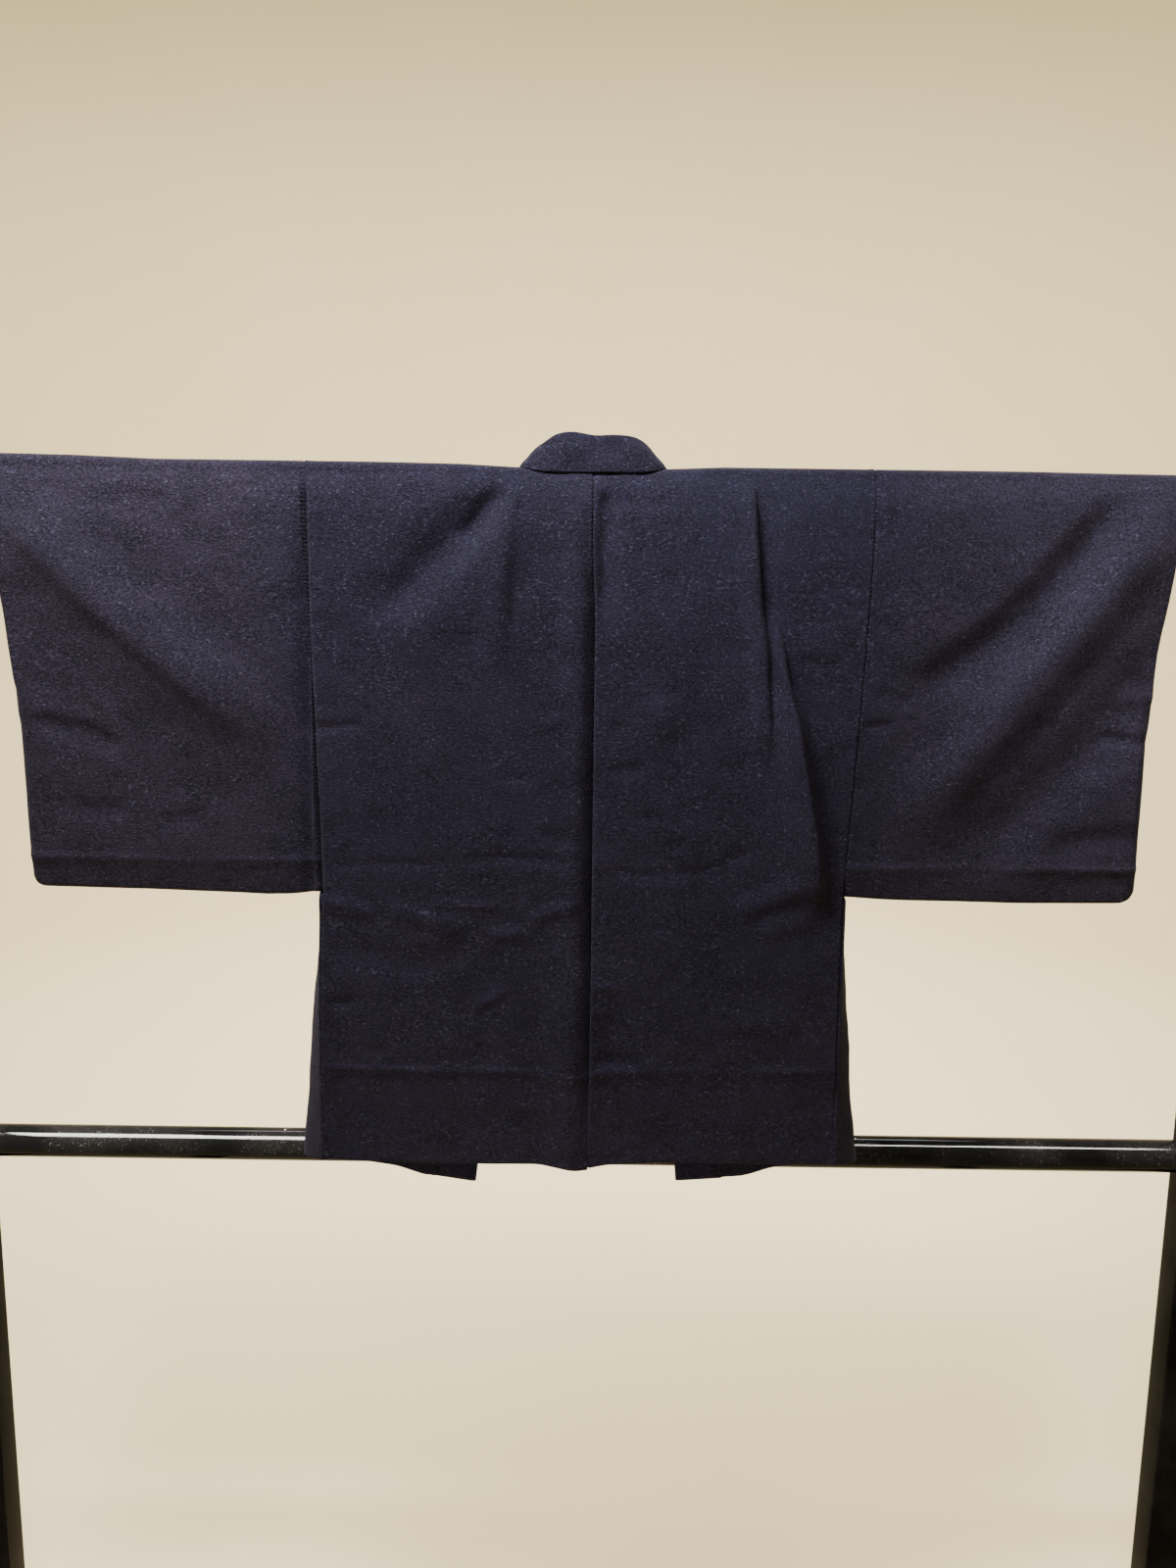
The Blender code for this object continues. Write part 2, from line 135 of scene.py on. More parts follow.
class Finish:
    """A material with one Principled shader and the nodes that feed it."""

    def __init__(self, name, uniform):
        self.material = bpy.data.materials.new(name)
        self.material.use_nodes = True
        self.tree = self.material.node_tree
        self.shader = self.tree.nodes["Principled BSDF"]
        for socket, value in uniform.items():
            self.shader.inputs[socket].default_value = value

    def node(self, kind, settings=None, sockets=None, output=0):
        made = self.tree.nodes.new(kind)
        for name, value in (settings or {}).items():
            setattr(made, name, value)
        for name, value in (sockets or {}).items():
            self.feed(made.inputs[name], value)
        return Varying(self, made.outputs[output])

    def feed(self, socket, value):
        if isinstance(value, Varying):
            self.tree.links.new(value.socket, socket)
        else:
            socket.default_value = value

    def show(self, socket, value):
        self.feed(self.shader.inputs[socket], value)

    def place(self, stretch=(1, 1, 1)):
        """Object coordinates, stretched along the axes."""
        coordinates = self.node("ShaderNodeTexCoord", output="Object")
        return self.node("ShaderNodeMapping", {}, {"Vector": coordinates, "Scale": stretch})

    def speckle(self, vector, per_metre, detail=2.0, low=0.0, high=1.0):
        """Noise with its middle range, from low to high, spread over 0 to 1."""
        sockets = {"Vector": vector, "Scale": per_metre, "Detail": detail}
        return self.node("ShaderNodeTexNoise", {}, sockets).ramp(low, high)

    def tint(self, factor, first, second):
        """A colour between two others."""
        return self.node("ShaderNodeMix", {"data_type": "RGBA"}, {0: factor, 6: first, 7: second}, 2)

    def relief(self, height, distance, strength=1.0, under=None):
        """A bump, laid over another one."""
        sockets = {"Height": height, "Distance": distance, "Strength": strength}
        if under is not None:
            sockets["Normal"] = under
        return self.node("ShaderNodeBump", {}, sockets)


print("a finish adds its nodes from", Varying.__name__, "values")

# %% [markdown]
# ## Wool
# The fibres were dyed and mixed before they were spun: navy, charcoal and a few pale ones that show as
# flecks. So the colour is a sum of clouds of very different sizes: flecks at a millimetre, a mottle at a
# centimetre, and patches faded to plum brown at a hand's width. Both sleeves also get that lighter, warmer
# colour as painted light, as if they hung nearer the lamps than the back. Threads follow the cut strip and
# not the space around it, so they read an attribute that each strip carries: metres across it, metres
# along it, and the distance to the nearest seam. A little sheen stands for the nap.

# %% Mix the wool
WOOL_DARK = (0.0014, 0.0013, 0.0030, 1)
WOOL_MID = (0.0086, 0.0076, 0.0160, 1)
WOOL_PALE = (0.037, 0.035, 0.061, 1)
# A faded, warmer colour for the patches, also used as painted light on the sleeves
WOOL_FADED_AND_LIT = (0.0130, 0.0107, 0.0190, 1)
SHEEN_TINT = (0.80, 0.75, 1.0, 1)
THREADS = 1150
STITCHES = 1 / (4.6 * MM)
PULL_REACH = 3.2 * MM


def mix_wool():
    nap = {"Sheen Weight": 0.03, "Sheen Roughness": 0.5, "Sheen Tint": SHEEN_TINT}
    wool = Finish("wool_cloth", {"Specular IOR Level": 0.05, **nap})
    place = wool.place((0.7, 1, 1))
    heather = wool.speckle(place, 480, 3.0, 0.38, 0.66)
    fleck = wool.speckle(place, 370, 1.0, 0.61, 0.76)
    mottle = wool.speckle(place, 70, 4.0, 0.28, 0.72)
    cloud = wool.speckle(place, 30, 3.0, 0.30, 0.70)
    patch = wool.speckle(place, 5.5, 2.0, 0.46, 0.66)
    # Painted light: out past the armholes the sleeves are painted lighter and warmer, as if nearer the lamps
    sleeve_painted_light = wool.place().part("X").size().ramp(0.31, 0.40)
    body_colour = wool.tint(0.25 * patch + 0.75 * sleeve_painted_light, WOOL_MID, WOOL_FADED_AND_LIT)
    shade = 0.01 + 0.84 * heather + 0.27 * mottle + 0.24 * cloud
    colour = wool.tint(shade, WOOL_DARK, body_colour)
    wool.show("Base Color", wool.tint(fleck * 0.5, colour, WOOL_PALE))
    wool.show("Roughness", 0.80 + 0.18 * mottle)

    strip = wool.node("ShaderNodeAttribute", {"attribute_name": "cloth"}, output="Vector")
    across, along, from_seam = (strip.part(axis) for axis in "XYZ")
    fuzz = wool.relief(heather + 0.5 * mottle, 0.5 * MM, 0.85)
    weave = wool.relief(across.wave(THREADS) * along.wave(THREADS), 0.12 * MM, 0.5, fuzz)
    pull = from_seam.ramp(PULL_REACH, 0) * along.wave(STITCHES)
    wool.show("Normal", wool.relief(pull, 0.35 * MM, 0.8, weave))
    return wool.material


wool_cloth = mix_wool()
print("wool:", len(wool_cloth.node_tree.nodes), "nodes")

# %% [markdown]
# ## Lacquer and pole
# The stand is wood under black lacquer. The two rails are polished until they mirror the lamps, and the
# other pieces are duller. Handling has left a haze of dust, and a few chips where the pale ground shows.
# The pole is stained wood with a satin varnish.

# %% Mix the lacquer and the pole's varnish
Lacquer = namedtuple("Lacquer", "gloss black dusty")
POLISHED = Lacquer(0.04, (0.0005, 0.0005, 0.0005, 1), (0.0016, 0.0014, 0.0013, 1))
PLAIN = Lacquer(0.008, (0.0026, 0.0024, 0.0023, 1), (0.0074, 0.0066, 0.0061, 1))
LACQUER_GRIT = (0.03, 0.028, 0.026, 1)
LACQUER_GROUND = (0.22, 0.21, 0.19, 1)
POLE_DARK = (0.0075, 0.0060, 0.0052, 1)
POLE_PALE = (0.022, 0.0165, 0.013, 1)


def mix_lacquer(name, kind):
    lacquer = Finish(name, {"Specular IOR Level": kind.gloss})
    place = lacquer.place()
    dust = lacquer.speckle(place, 14, 4.0, 0.40, 0.75)
    grit = lacquer.speckle(place, 420, 2.0, 0.62, 0.75)
    chip = lacquer.speckle(place, 90, 1.0, 0.80, 0.82)
    skin = lacquer.tint(grit * dust * 0.6, lacquer.tint(dust, kind.black, kind.dusty), LACQUER_GRIT)
    lacquer.show("Base Color", lacquer.tint(chip, skin, LACQUER_GROUND))
    lacquer.show("Roughness", 0.05 + 0.14 * dust + 0.5 * chip)
    lacquer.show("Normal", lacquer.relief(dust + 0.2 * grit, 0.10 * MM, 0.5))
    return lacquer.material


def mix_varnish():
    varnish = Finish("pole_wood", {"Specular IOR Level": 0.45})
    place = varnish.place((0.05, 1, 1))
    grain = varnish.speckle(place, 260, 4.0, 0.30, 0.70)
    varnish.show("Base Color", varnish.tint(grain, POLE_DARK, POLE_PALE))
    varnish.show("Roughness", 0.30 + 0.22 * grain)
    varnish.show("Normal", varnish.relief(grain, 0.12 * MM, 0.6))
    return varnish.material


polished_lacquer = mix_lacquer("polished_lacquer", POLISHED)
black_lacquer = mix_lacquer("black_lacquer", PLAIN)
pole_wood = mix_varnish()
for mixed in (polished_lacquer, black_lacquer, pole_wood):
    print(mixed.name, "has", len(mixed.node_tree.nodes), "nodes")

# %% [markdown]
# ## The cut
# Every strip hangs between edges that are nearly straight, so a few widths at some depths say where each
# edge runs, and a few depths at some widths where each hem runs. Depths go down from the shoulder line and
# widths out from the centre line, in millimetres. The two halves differ a little.

# %% Write down the edges
# Each row is how deep or how far out, the size there on the left and the size on the right
SLEEVE_SEAM = [
    (0, 328, 321), (100, 327, 319), (206, 324, 316), (274, 320, 313),
    (388, 316, 308), (496, 312, 303), (647, 316, 304), (880, 318, 308),
]
GUSSET_EDGE = [(500, 320, 311), (589, 326, 316), (708, 337, 327), (846, 350, 341)]
CUFF_EDGE = [
    (0, 681, 668), (107, 675, 661), (205, 666, 652), (262, 661, 650),
    (290, 665, 652), (400, 664, 654), (502, 662, 656),
]
COLLAR_SEAM = [(0, 84, 84), (60, 95, 94), (400, 139, 133), (900, 194, 179)]
COLLAR_WIDTH = [(0, 30, 30), (50, 46, 46), (140, 57, 58), (900, 57, 60)]
CENTRE_DRIFT = [(0, -1, 1), (560, -2, 2), (860, -6, 6)]
BACK_HEM = [(0, 843, 841), (50, 839, 837), (130, 839, 834), (250, 838, 835), (350, 835, 832)]
FRONT_HEM = [(120, 882, 880), (200, 877, 873), (272, 860, 856), (320, 847, 845), (350, 845, 843)]
COLLAR_HEM = [(110, 894, 886), (200, 880, 878)]
SLEEVE_HEM = [(308, 499, 498), (352, 504, 501), (380, 505, 502), (520, 501, 504), (650, 499, 502)]
SHOULDER_DROP = [(82, 3, 3), (150, 0, 0), (240, -1, 0), (500, -1, 0), (590, -4, 1), (675, -5, 1.5)]

SHOULDER_HEIGHT = 1750 * MM
GARMENT_Y = -80 * MM
NECK_HALF_WIDTH = 82 * MM
SLEEVE_DEPTH = 502 * MM
ARM_DEPTH = 496 * MM
BODY_LENGTH = 840 * MM


def edge_at(edges, side, at):
    """The size that a table gives for one side, in metres."""
    places, left, right = np.array(edges).T * MM
    return np.interp(at, places, left if side == LEFT else right)


print("half of the back is", edge_at(SLEEVE_SEAM, LEFT, 0.3).round(3), "m wide at the chest")

# %% [markdown]
# ## How it hangs
# The pole inside the sleeves holds the back and the front apart. From it both layers hang almost flat, and
# come together at the sleeves' bottoms. The back leans in a little towards the hem. The cloth's wall is
# half on each side of the surface that is worked out here.

# %% Hang a layer
CLOTH = 1.1 * MM
FRAME_CLOTH = 2.0 * MM
SHOULDER_RADIUS = 11.8 * MM
SLEEVE_BOTTOM_HALF = 6 * MM
SLEEVE_CLOSE_RUN = 120 * MM
BACK_LEAN = 3 * MM


def ease(value):
    """A smooth step from 0 to 1."""
    share = np.clip(value, 0, 1)
    return share * share * (3 - 2 * share)


def blend(start, end, share):
    return start + (end - start) * share


def turned_share(turn):
    """How much of its half circle a hem has turned, from 0 to 1."""
    return (1 - np.cos(np.radians(turn))) / 2


def shoulder_top(side, across):
    """How deep the middle of the round over the pole lies."""
    return SHOULDER_RADIUS + FRAME_CLOTH / 2 + edge_at(SHOULDER_DROP, side, across)


def half_gap(layer, side, across, depth):
    """Half the space between the back and the front."""
    lean = np.where(layer == BACK, BACK_LEAN, 0)
    half = SHOULDER_RADIUS - lean * np.clip(depth / BODY_LENGTH, 0, 1)
    outward = np.clip((across - edge_at(SLEEVE_SEAM, side, depth)) / SLEEVE_CLOSE_RUN, 0, 1)
    down = np.clip(depth / SLEEVE_DEPTH, 0, 1)
    return blend(half, SLEEVE_BOTTOM_HALF, ease(outward) * down**2)


print("at the hem the layers are", round(float(half_gap(BACK, LEFT, 0.1, 0.84)) * 2000), "mm apart")

# %% [markdown]
# ## Folds
# Heavy wool keeps few folds, and soft ones: long drags from the neck and the cuffs, two laps near the
# right side, and short creases from being kept folded in a drawer. A cloth simulation would invent its
# own, so each fold is given as a bowed line through three points, with a width on each side and a
# height, below zero for a trough. A cosine gives its section, it dies out at both ends, and a lean
# pushes its crest over, as in a lap.

# %% Lay down the folds
Fold = namedtuple("Fold", "x0 depth0 x1 depth1 x2 depth2 width_a width_b height lean", defaults=[0])
BACK_FOLDS = [
    # Drags from the left side of the neck
    (-84, 16, -170, 98, -258, 186, 54, 44, -6.5),
    (-92, 2, -116, 46, -152, 92, 18, 24, -6.5),
    (-116, 48, -174, 102, -232, 178, 32, 40, -4.5),
    (-70, 36, -136, 142, -238, 238, 56, 52, 4.6),
    (-76, 6, -97, 90, -101, 250, 28, 14, 5),
    (-38, 16, -30, 38, -20, 52, 8, 8, -3),
    # Left sleeve
    (-640, 14, -560, 34, -460, 60, 40, 34, -3),
    (-672, 44, -548, 172, -350, 334, 26, 64, 6),
    (-672, 54, -548, 184, -350, 346, 95, 74, 11),
    (-668, 120, -560, 220, -400, 372, 60, 40, -4),
    (-658, 300, -590, 308, -536, 336, 26, 16, -4),
    (-612, 388, -572, 402, -534, 392, 22, 16, -2.4),
    (-508, 414, -478, 412, -450, 404, 18, 14, -2),
    (-328, 60, -325, 290, -328, 610, 14, 5, -9, 3),
    (-325, -80, -320, 220, -310, 540, 5, 4, -11),
    # Left half of the back
    (-334, 306, -294, 301, -256, 297, 10, 10, -2.5),
    (-110, 352, -84, 358, -58, 355, 14, 12, -1.6),
    (-70, 300, -48, 292, -26, 294, 12, 12, 1.4),
    (-60, 420, -40, 428, -16, 424, 14, 12, -1.8),
    (-310, 463, -230, 461, -140, 461, 12, 8, -1.4),
    (-160, 461, -90, 452, 4, 458, 14, 9, -1.9),
    (-340, 494, -294, 510, -240, 520, 24, 9, 4),
    (-240, 510, -190, 524, -132, 538, 24, 10, 3),
    (-120, 542, -90, 544, -64, 534, 18, 9, 3),
    (-70, 530, -40, 514, -4, 508, 18, 9, 3.4),
    (-196, 513, -144, 511, -92, 515, 9, 7, 1.8),
    (-330, 560, -220, 580, -120, 572, 34, 30, -2.4),
    (-138, 638, -114, 627, -92, 613, 10, 9, 2.4),
    (-312, 632, -290, 634, -268, 630, 10, 9, -2.2),
    (-266, 690, -250, 694, -232, 692, 9, 9, -1.8),
    (-52, 560, -34, 650, -20, 740, 18, 22, 2),
    # Pleat along the centre
    (-14, -260, -14, 360, -14, 1000, 26, 14, 3),
    (1, 90, 2, 370, 3, 900, 9, 5, -12, 4.4),
    (15, -130, 14, 50, 11, 220, 10, 30, -7.5),
    (-10, 560, -10, 800, -8, 1120, 58, 44, 9),
    # Right half of the back
    (4, 44, 50, 42, 108, 42, 16, 16, -2.6),
    (167, -80, 188, 142, 207, 350, 24, 8, 9, 4),
    (172, -80, 194, 142, 212, 350, 10, 30, -3.5),
    (202, 150, 233, 316, 276, 530, 28, 12, 13, 7),
    (222, 230, 252, 390, 278, 524, 70, 22, 14, 3),
    (176, 520, 214, 500, 258, 480, 20, 24, 3.6),
    (200, 542, 244, 528, 286, 512, 20, 18, 2.4),
    (94, 432, 106, 434, 118, 431, 12, 12, -1.8),
    (158, 448, 174, 448, 192, 446, 13, 11, -1.8),
    (236, 220, 262, 221, 288, 225, 13, 11, -1.8),
    (24, 352, 46, 346, 72, 350, 14, 12, -1.8),
    (40, 398, 66, 404, 92, 398, 14, 12, -1.6),
    (60, 250, 84, 256, 110, 252, 16, 14, -1.2),
    (150, 340, 168, 346, 186, 342, 13, 11, -1.6),
    (26, 296, 36, 297, 46, 295, 11, 10, -1.4),
    (10, 468, 90, 470, 180, 458, 14, 10, -1.4),
    (0, 612, 22, 610, 46, 608, 9, 9, 2),
    (0, 640, 18, 640, 36, 641, 9, 9, 1.6),
    (6, 700, 40, 702, 72, 699, 14, 12, -2),
    (60, 100, 100, 220, 60, 330, 40, 40, 2.5),
    (140, 640, 200, 652, 270, 650, 24, 24, 1.8),
    # Right sleeve
    (612, 8, 492, 166, 352, 262, 38, 54, -11),
    (650, 34, 536, 206, 352, 436, 52, 52, 13.5),
    (690, 120, 590, 300, 400, 480, 50, 60, -8),
    (588, 300, 618, 302, 654, 308, 14, 9, -3.4),
    (606, 262, 630, 256, 656, 252, 14, 16, 2.2),
    (536, 434, 592, 424, 656, 418, 24, 26, -4),
    (312, 294, 332, 291, 354, 288, 9, 9, -3),
    (328, 252, 350, 258, 376, 268, 13, 11, -2.2),
]
FRONT_FOLDS = [
    (-118, 22, -190, 118, -262, 230, 34, 30, -5),
    (-120, 90, -207, 190, -290, 330, 48, 44, 8),
    (-310, 300, -286, 299, -256, 306, 9, 9, -2.2),
    (-300, 462, -230, 467, -150, 466, 16, 8, -2.2),
    (-306, 520, -240, 539, -172, 540, 30, 18, 4),
    (-236, 500, -235, 740, -240, 1100, 34, 40, 5),
    (124, 26, 192, 146, 262, 300, 34, 30, -5),
    (134, 70, 210, 212, 284, 400, 50, 44, 9),
    (150, 474, 222, 470, 296, 474, 14, 8, -2.4),
    (160, 540, 230, 528, 300, 536, 30, 18, 3.5),
    (246, 520, 240, 760, 246, 1100, 36, 34, 5),
    (-662, 40, -524, 178, -350, 330, 60, 60, 9),
    (-655, 120, -526, 265, -370, 400, 46, 50, -5),
    (-650, 420, -555, 414, -450, 430, 26, 30, 3),
    (-658, 322, -607, 320, -550, 330, 10, 10, -2),
    (652, 34, 510, 196, 350, 370, 62, 56, 10),
    (655, 150, 541, 297, 390, 440, 50, 50, -5),
    (600, 10, 494, 95, 356, 190, 30, 50, -5),
    (640, 300, 600, 303, 560, 298, 10, 8, -2),
]
FOLDS = {BACK: [Fold(*sizes) for sizes in BACK_FOLDS], FRONT: [Fold(*sizes) for sizes in FRONT_FOLDS]}
FOLD_STEPS = 10
FOLD_TAPER = 0.22
REST_PROUD = 12 * MM
BULK_PROUD = 8 * MM
CALM_FROM = 1.2 * SHOULDER_RADIUS
TOP_CALM = 34 * MM
REST_RAMP = 21 * MM
BULK_RAMP = 110 * MM


def fold_line(fold):
    """Points along the bow of a fold, which passes through its middle point."""
    share = np.linspace(0, 1, FOLD_STEPS + 1)[:, None]
    first, middle, last = np.array(fold[:6]).reshape(3, 2) * MM
    pull = 2 * middle - (first + last) / 2
    return (1 - share) ** 2 * first + 2 * share * (1 - share) * pull + share**2 * last


def fold_strength(fold, x, depth):
    """How strongly a fold is felt at each point, from 0 to 1."""
    line = fold_line(fold)
    nearest = np.full(x.shape, np.inf)
    side_of_line = np.zeros(x.shape)
    place = np.zeros(x.shape)
    for step, (start, end) in enumerate(zip(line, line[1:])):
        along = end - start
        to_x, to_depth = x - start[0], depth - start[1]
        share = np.clip((to_x * along[0] + to_depth * along[1]) / along.dot(along), 0, 1)
        gap = np.hypot(to_x - share * along[0], to_depth - share * along[1])
        closer = gap < nearest
        nearest = np.where(closer, gap, nearest)
        side_of_line = np.where(closer, along[0] * to_depth - along[1] * to_x, side_of_line)
        place = np.where(closer, (step + share) / FOLD_STEPS, place)
    width = np.where(side_of_line > 0, fold.width_a, fold.width_b) * MM
    across = 0.5 + 0.5 * np.cos(np.pi * np.minimum(nearest / width, 1))
    return across * ease(place / FOLD_TAPER) * ease((1 - place) / FOLD_TAPER)


def folded(layer, x, depth):
    """How far a layer's folds lift each point, and push it across and down."""
    lift, push_x, push_depth = np.zeros((3, len(x)))
    for fold in FOLDS[layer]:
        strength = fold_strength(fold, x, depth)
        lift += fold.height * MM * strength
        if fold.lean:
            run, fall = fold.x2 - fold.x0, fold.depth2 - fold.depth0
            length = math.hypot(run, fall)
            push_x += fold.lean * MM * strength * fall / length
            push_depth -= fold.lean * MM * strength * run / length
    return lift, push_x, push_depth


print("folds:", len(BACK_FOLDS), "on the back and", len(FRONT_FOLDS), "on the front")

# %% [markdown]
# ## Small unevenness
# Between its folds a cloth is never flat. Three clouds of noise lift it, the widest by a millimetre or two
# and the finest by a tenth of one. Low light across a surface shows even that.

# %% Make the cloth uneven
# Each cloud's size and height, and a seed
CLOUDS = [(70 * MM, 1.7 * MM, 3.1), (26 * MM, 0.62 * MM, 8.7), (9 * MM, 0.10 * MM, 1.9)]
LAYERS_APART = 20


def uneven(layer, x, depth):
    lift = np.zeros(len(x))
    for size, height, seed in CLOUDS:
        shift = seed + LAYERS_APART * layer
        points = np.column_stack([x, depth, np.zeros(len(x))]) / size + shift
        lift += height * np.array([noise.noise(point) for point in points])
    return lift


print("unevenness:", [height for size, height, seed in CLOUDS], "m")

# %% [markdown]
# ## Rows and columns
# A strip is a grid. Its rows run across the cloth: up the back from the hem, over the pole and down the
# front. Each row knows its layer, its angle round the pole, and its drop: 0 to 1 beside the sleeve, 1 to 2
# down to the top of the turned-up hem, and 2 to 3 from there. At the hem the cloth turns through half a
# circle and goes up again inside. Rows lie closer where something fine has to show.

# %% Plan the rows
CELL = 4.7 * MM
CREASE_CELL = {LEFT: 3.0 * MM, RIGHT: 2.5 * MM}
FINE_CELL = 1.6 * MM
FINE_REACH = 7 * MM
HEM_FOLD = 1.1 * MM
TURN_UP = 121 * MM
NECK_ANGLE = 24
POLE_ANGLES = [12, NECK_ANGLE, 37, 50, 63, 76]
HEM_TURNS = [30, 60, 90, 120, 150, 180]
Row = namedtuple("Row", "layer angle drop turn rise")


def spaced(start, end, fine_at=()):
    """Places from start to end, about a cell apart, with finer ones round some spots."""
    places = list(np.linspace(start, end, round((end - start) / CELL) + 1))
    for spot in fine_at:
        places += list(np.arange(spot - FINE_REACH, spot + FINE_REACH, FINE_CELL))
    return np.array(sorted(place for place in places if start <= place <= end))


def layer_rows(layer, drops, turned_up):
    """Rows of one layer, from the top of the pole down, round the hem and up inside."""
    rows = [(layer, angle, 0, 0, 0) for angle in POLE_ANGLES]
    rows += [(layer, 90, drop, 0, 0) for drop in drops]
    if turned_up:
        rows += [(layer, 90, 3, turn, 0) for turn in HEM_TURNS]
        rows += [(layer, 90, 3, 180, rise) for rise in spaced(0, TURN_UP)[1:]]
    return rows


def strip_rows(drops, turned_up):
    """Rows of a whole strip, from the back's hem to the front's. The plainer front has fewer."""
    back = layer_rows(BACK, drops, turned_up)
    front = layer_rows(FRONT, drops[::-2][::-1], turned_up)
    return back[::-1] + [(FRONT, 0, 0, 0, 0)] + front


def picked(kind, entries, index):
    """The rows or columns that some points are in, as one array for each of their facts."""
    return kind(*np.array(entries, dtype=float)[index].T)


ARM_DROPS = spaced(0, ARM_DEPTH) / ARM_DEPTH
skirt = BODY_LENGTH - TURN_UP - ARM_DEPTH
SKIRT_DROPS = 1 + spaced(0, skirt, [skirt])[1:] / skirt
TURN_DROPS = 2 + spaced(0, TURN_UP, [0])[1:] / TURN_UP
BODY_DROPS = np.concatenate([ARM_DROPS, SKIRT_DROPS, TURN_DROPS])
print("a body strip has", len(strip_rows(BODY_DROPS, True)), "rows")

# %% [markdown]
# ## Columns
# Columns run along the cloth, between seams. Beside a seam they lie closer together, because there the
# edge rolls in and its allowance goes inside, which leaves a fine dark groove. A tailor also presses
# each seam so that one side laps a little over the other.

# %% Plan the columns
SEAM_GAP = 0.7 * MM
SEAM_ROLL = 1.8 * MM
SEAM_ALLOWANCE = 5 * MM
ALLOWANCE_DEPTH = 3.1 * MM
OVER_POLE_DEPTH = 1.3 * MM
SEAM_LAP = 0.7 * MM
SEAM_STEPS = [0.0, 0.4 * MM, 1.0 * MM, 1.9 * MM, 3.6 * MM, 6.6 * MM]
FAR_FROM_SEAM = 20 * MM
CUFF_TURNS = [0, 30, 60, 90, 120, 150, 180]
CUFF_INSIDE = [3 * MM, 7 * MM, 12 * MM]
Column = namedtuple("Column", "line step inward from_seam next_line next_step share", defaults=[0, 0, 0])


def seam_columns(line, towards, lap, crosses):
    """Columns beside a seam. An allowance that crosses it goes under the strip beyond."""
    columns = []
    if crosses:
        for step in (SEAM_ALLOWANCE, 0):
            columns.append(Column(line, -towards * step, ALLOWANCE_DEPTH, 0))
    for step in SEAM_STEPS:
        rolled = max(SEAM_ROLL - step, 0)
        inward = SEAM_ROLL - math.sqrt(SEAM_ROLL**2 - rolled**2)
        inward -= lap * SEAM_LAP * float(1 - ease(step / SEAM_STEPS[-1]))
        columns.append(Column(line, towards * (SEAM_GAP + step), inward, step))
    return columns if towards > 0 else columns[::-1]


def open_columns(line, next_line, width, cell=CELL):
    """Columns between two lines, clear of the ones beside them."""
    margin = SEAM_GAP + SEAM_STEPS[-1]
    shares = np.linspace(0, 1, round(width / cell) + 1)[1:-1]
    return [Column(line, margin, 0, FAR_FROM_SEAM, next_line, -margin, share) for share in shares]


def cuff_columns(line):
    """Columns round the fold of a cuff, and of its hem inside."""
    columns = []
    for turn in CUFF_TURNS:
        out = HEM_FOLD * (math.sin(math.radians(turn)) - 1)
        inward = HEM_FOLD * (1 - math.cos(math.radians(turn)))
        columns.append(Column(line, out, inward, FAR_FROM_SEAM))
    for inside in CUFF_INSIDE:
        columns.append(Column(line, -HEM_FOLD - inside, 2 * HEM_FOLD, FAR_FROM_SEAM))
    return columns


def distance_across(in_column, lines):
    """How far out some points lie, between the lines that their columns name."""
    lines, points = np.array(lines), np.arange(len(in_column.line))
    start = lines[in_column.line.astype(int), points] + in_column.step
    end = lines[in_column.next_line.astype(int), points] + in_column.next_step
    return blend(start, end, in_column.share)


print("a seam's edge has", len(seam_columns(0, 1, 1, True)), "columns")

# %% [markdown]
# ## Laying a strip
# `create_grid` makes a flat grid, and each of its points then moves to where its row and its column say.
# This keeps the cloth one whole sheet with even squares, as woven cloth is, and a Solidify modifier gives
# it its wall at the end.

# %% Make cloth from a grid
POLE_CLEAR = 26 * MM
LEAST_HALF = 0.65 * MM
MERGE_REACH = 0.02 * MM


def finished(name, mesh, material):
    """An object made of a mesh whose normals all face outwards."""
    bmesh.ops.recalc_face_normals(mesh, faces=mesh.faces)
    for face in mesh.faces:
        face.smooth = True
    data = bpy.data.meshes.new(name)
    mesh.to_mesh(data)
    mesh.free()
    data.materials.append(material)
    return placed(name, data)


def cloth_grid(columns, rows):
    """A flat grid, and the column and row that each of its points is in."""
    wide, long = len(columns) - 1, len(rows) - 1
    mesh = bmesh.new()
    bmesh.ops.create_grid(mesh, x_segments=wide, y_segments=long, size=0.5)
    flat = np.array([vert.co for vert in mesh.verts])
    column, row = np.rint((flat[:, :2] + 0.5) * [wide, long]).astype(int).T
    return mesh, column, row


def row_depth(rows, side, across, hem):
    """How far below the shoulder line the points of some rows lie."""
    top = shoulder_top(side, across)
    turn_line = hem - TURN_UP
    depth = blend(top, ARM_DEPTH, rows.drop)
    depth = np.where(rows.drop > 1, blend(ARM_DEPTH, turn_line, rows.drop - 1), depth)
    depth = np.where(rows.drop > 2, blend(turn_line, hem - HEM_FOLD, rows.drop - 2), depth)
    depth = depth + HEM_FOLD * np.sin(np.radians(rows.turn)) - rows.rise
    return np.where(rows.angle < 90, top - SHOULDER_RADIUS * np.cos(np.radians(rows.angle)), depth)


def relief(layer, x, depth):
    """Folds and unevenness of both layers."""
    lift, push_x, push_depth = np.zeros((3, len(x)))
    for one in (BACK, FRONT):
        here = layer == one
        lift[here], push_x[here], push_depth[here] = folded(one, x[here], depth[here])
        lift[here] += uneven(one, x[here], depth[here])
    calm = ease((depth - CALM_FROM) / TOP_CALM)
    below = np.maximum(depth - SHOULDER_RADIUS, 0)
    bulk = np.where(layer == BACK, BULK_PROUD, 0)
    proud = REST_PROUD * (1 - np.exp(-below / REST_RAMP)) + bulk * (1 - np.exp(-below / BULK_RAMP))
    return proud + lift * calm, push_x * calm, push_depth * calm


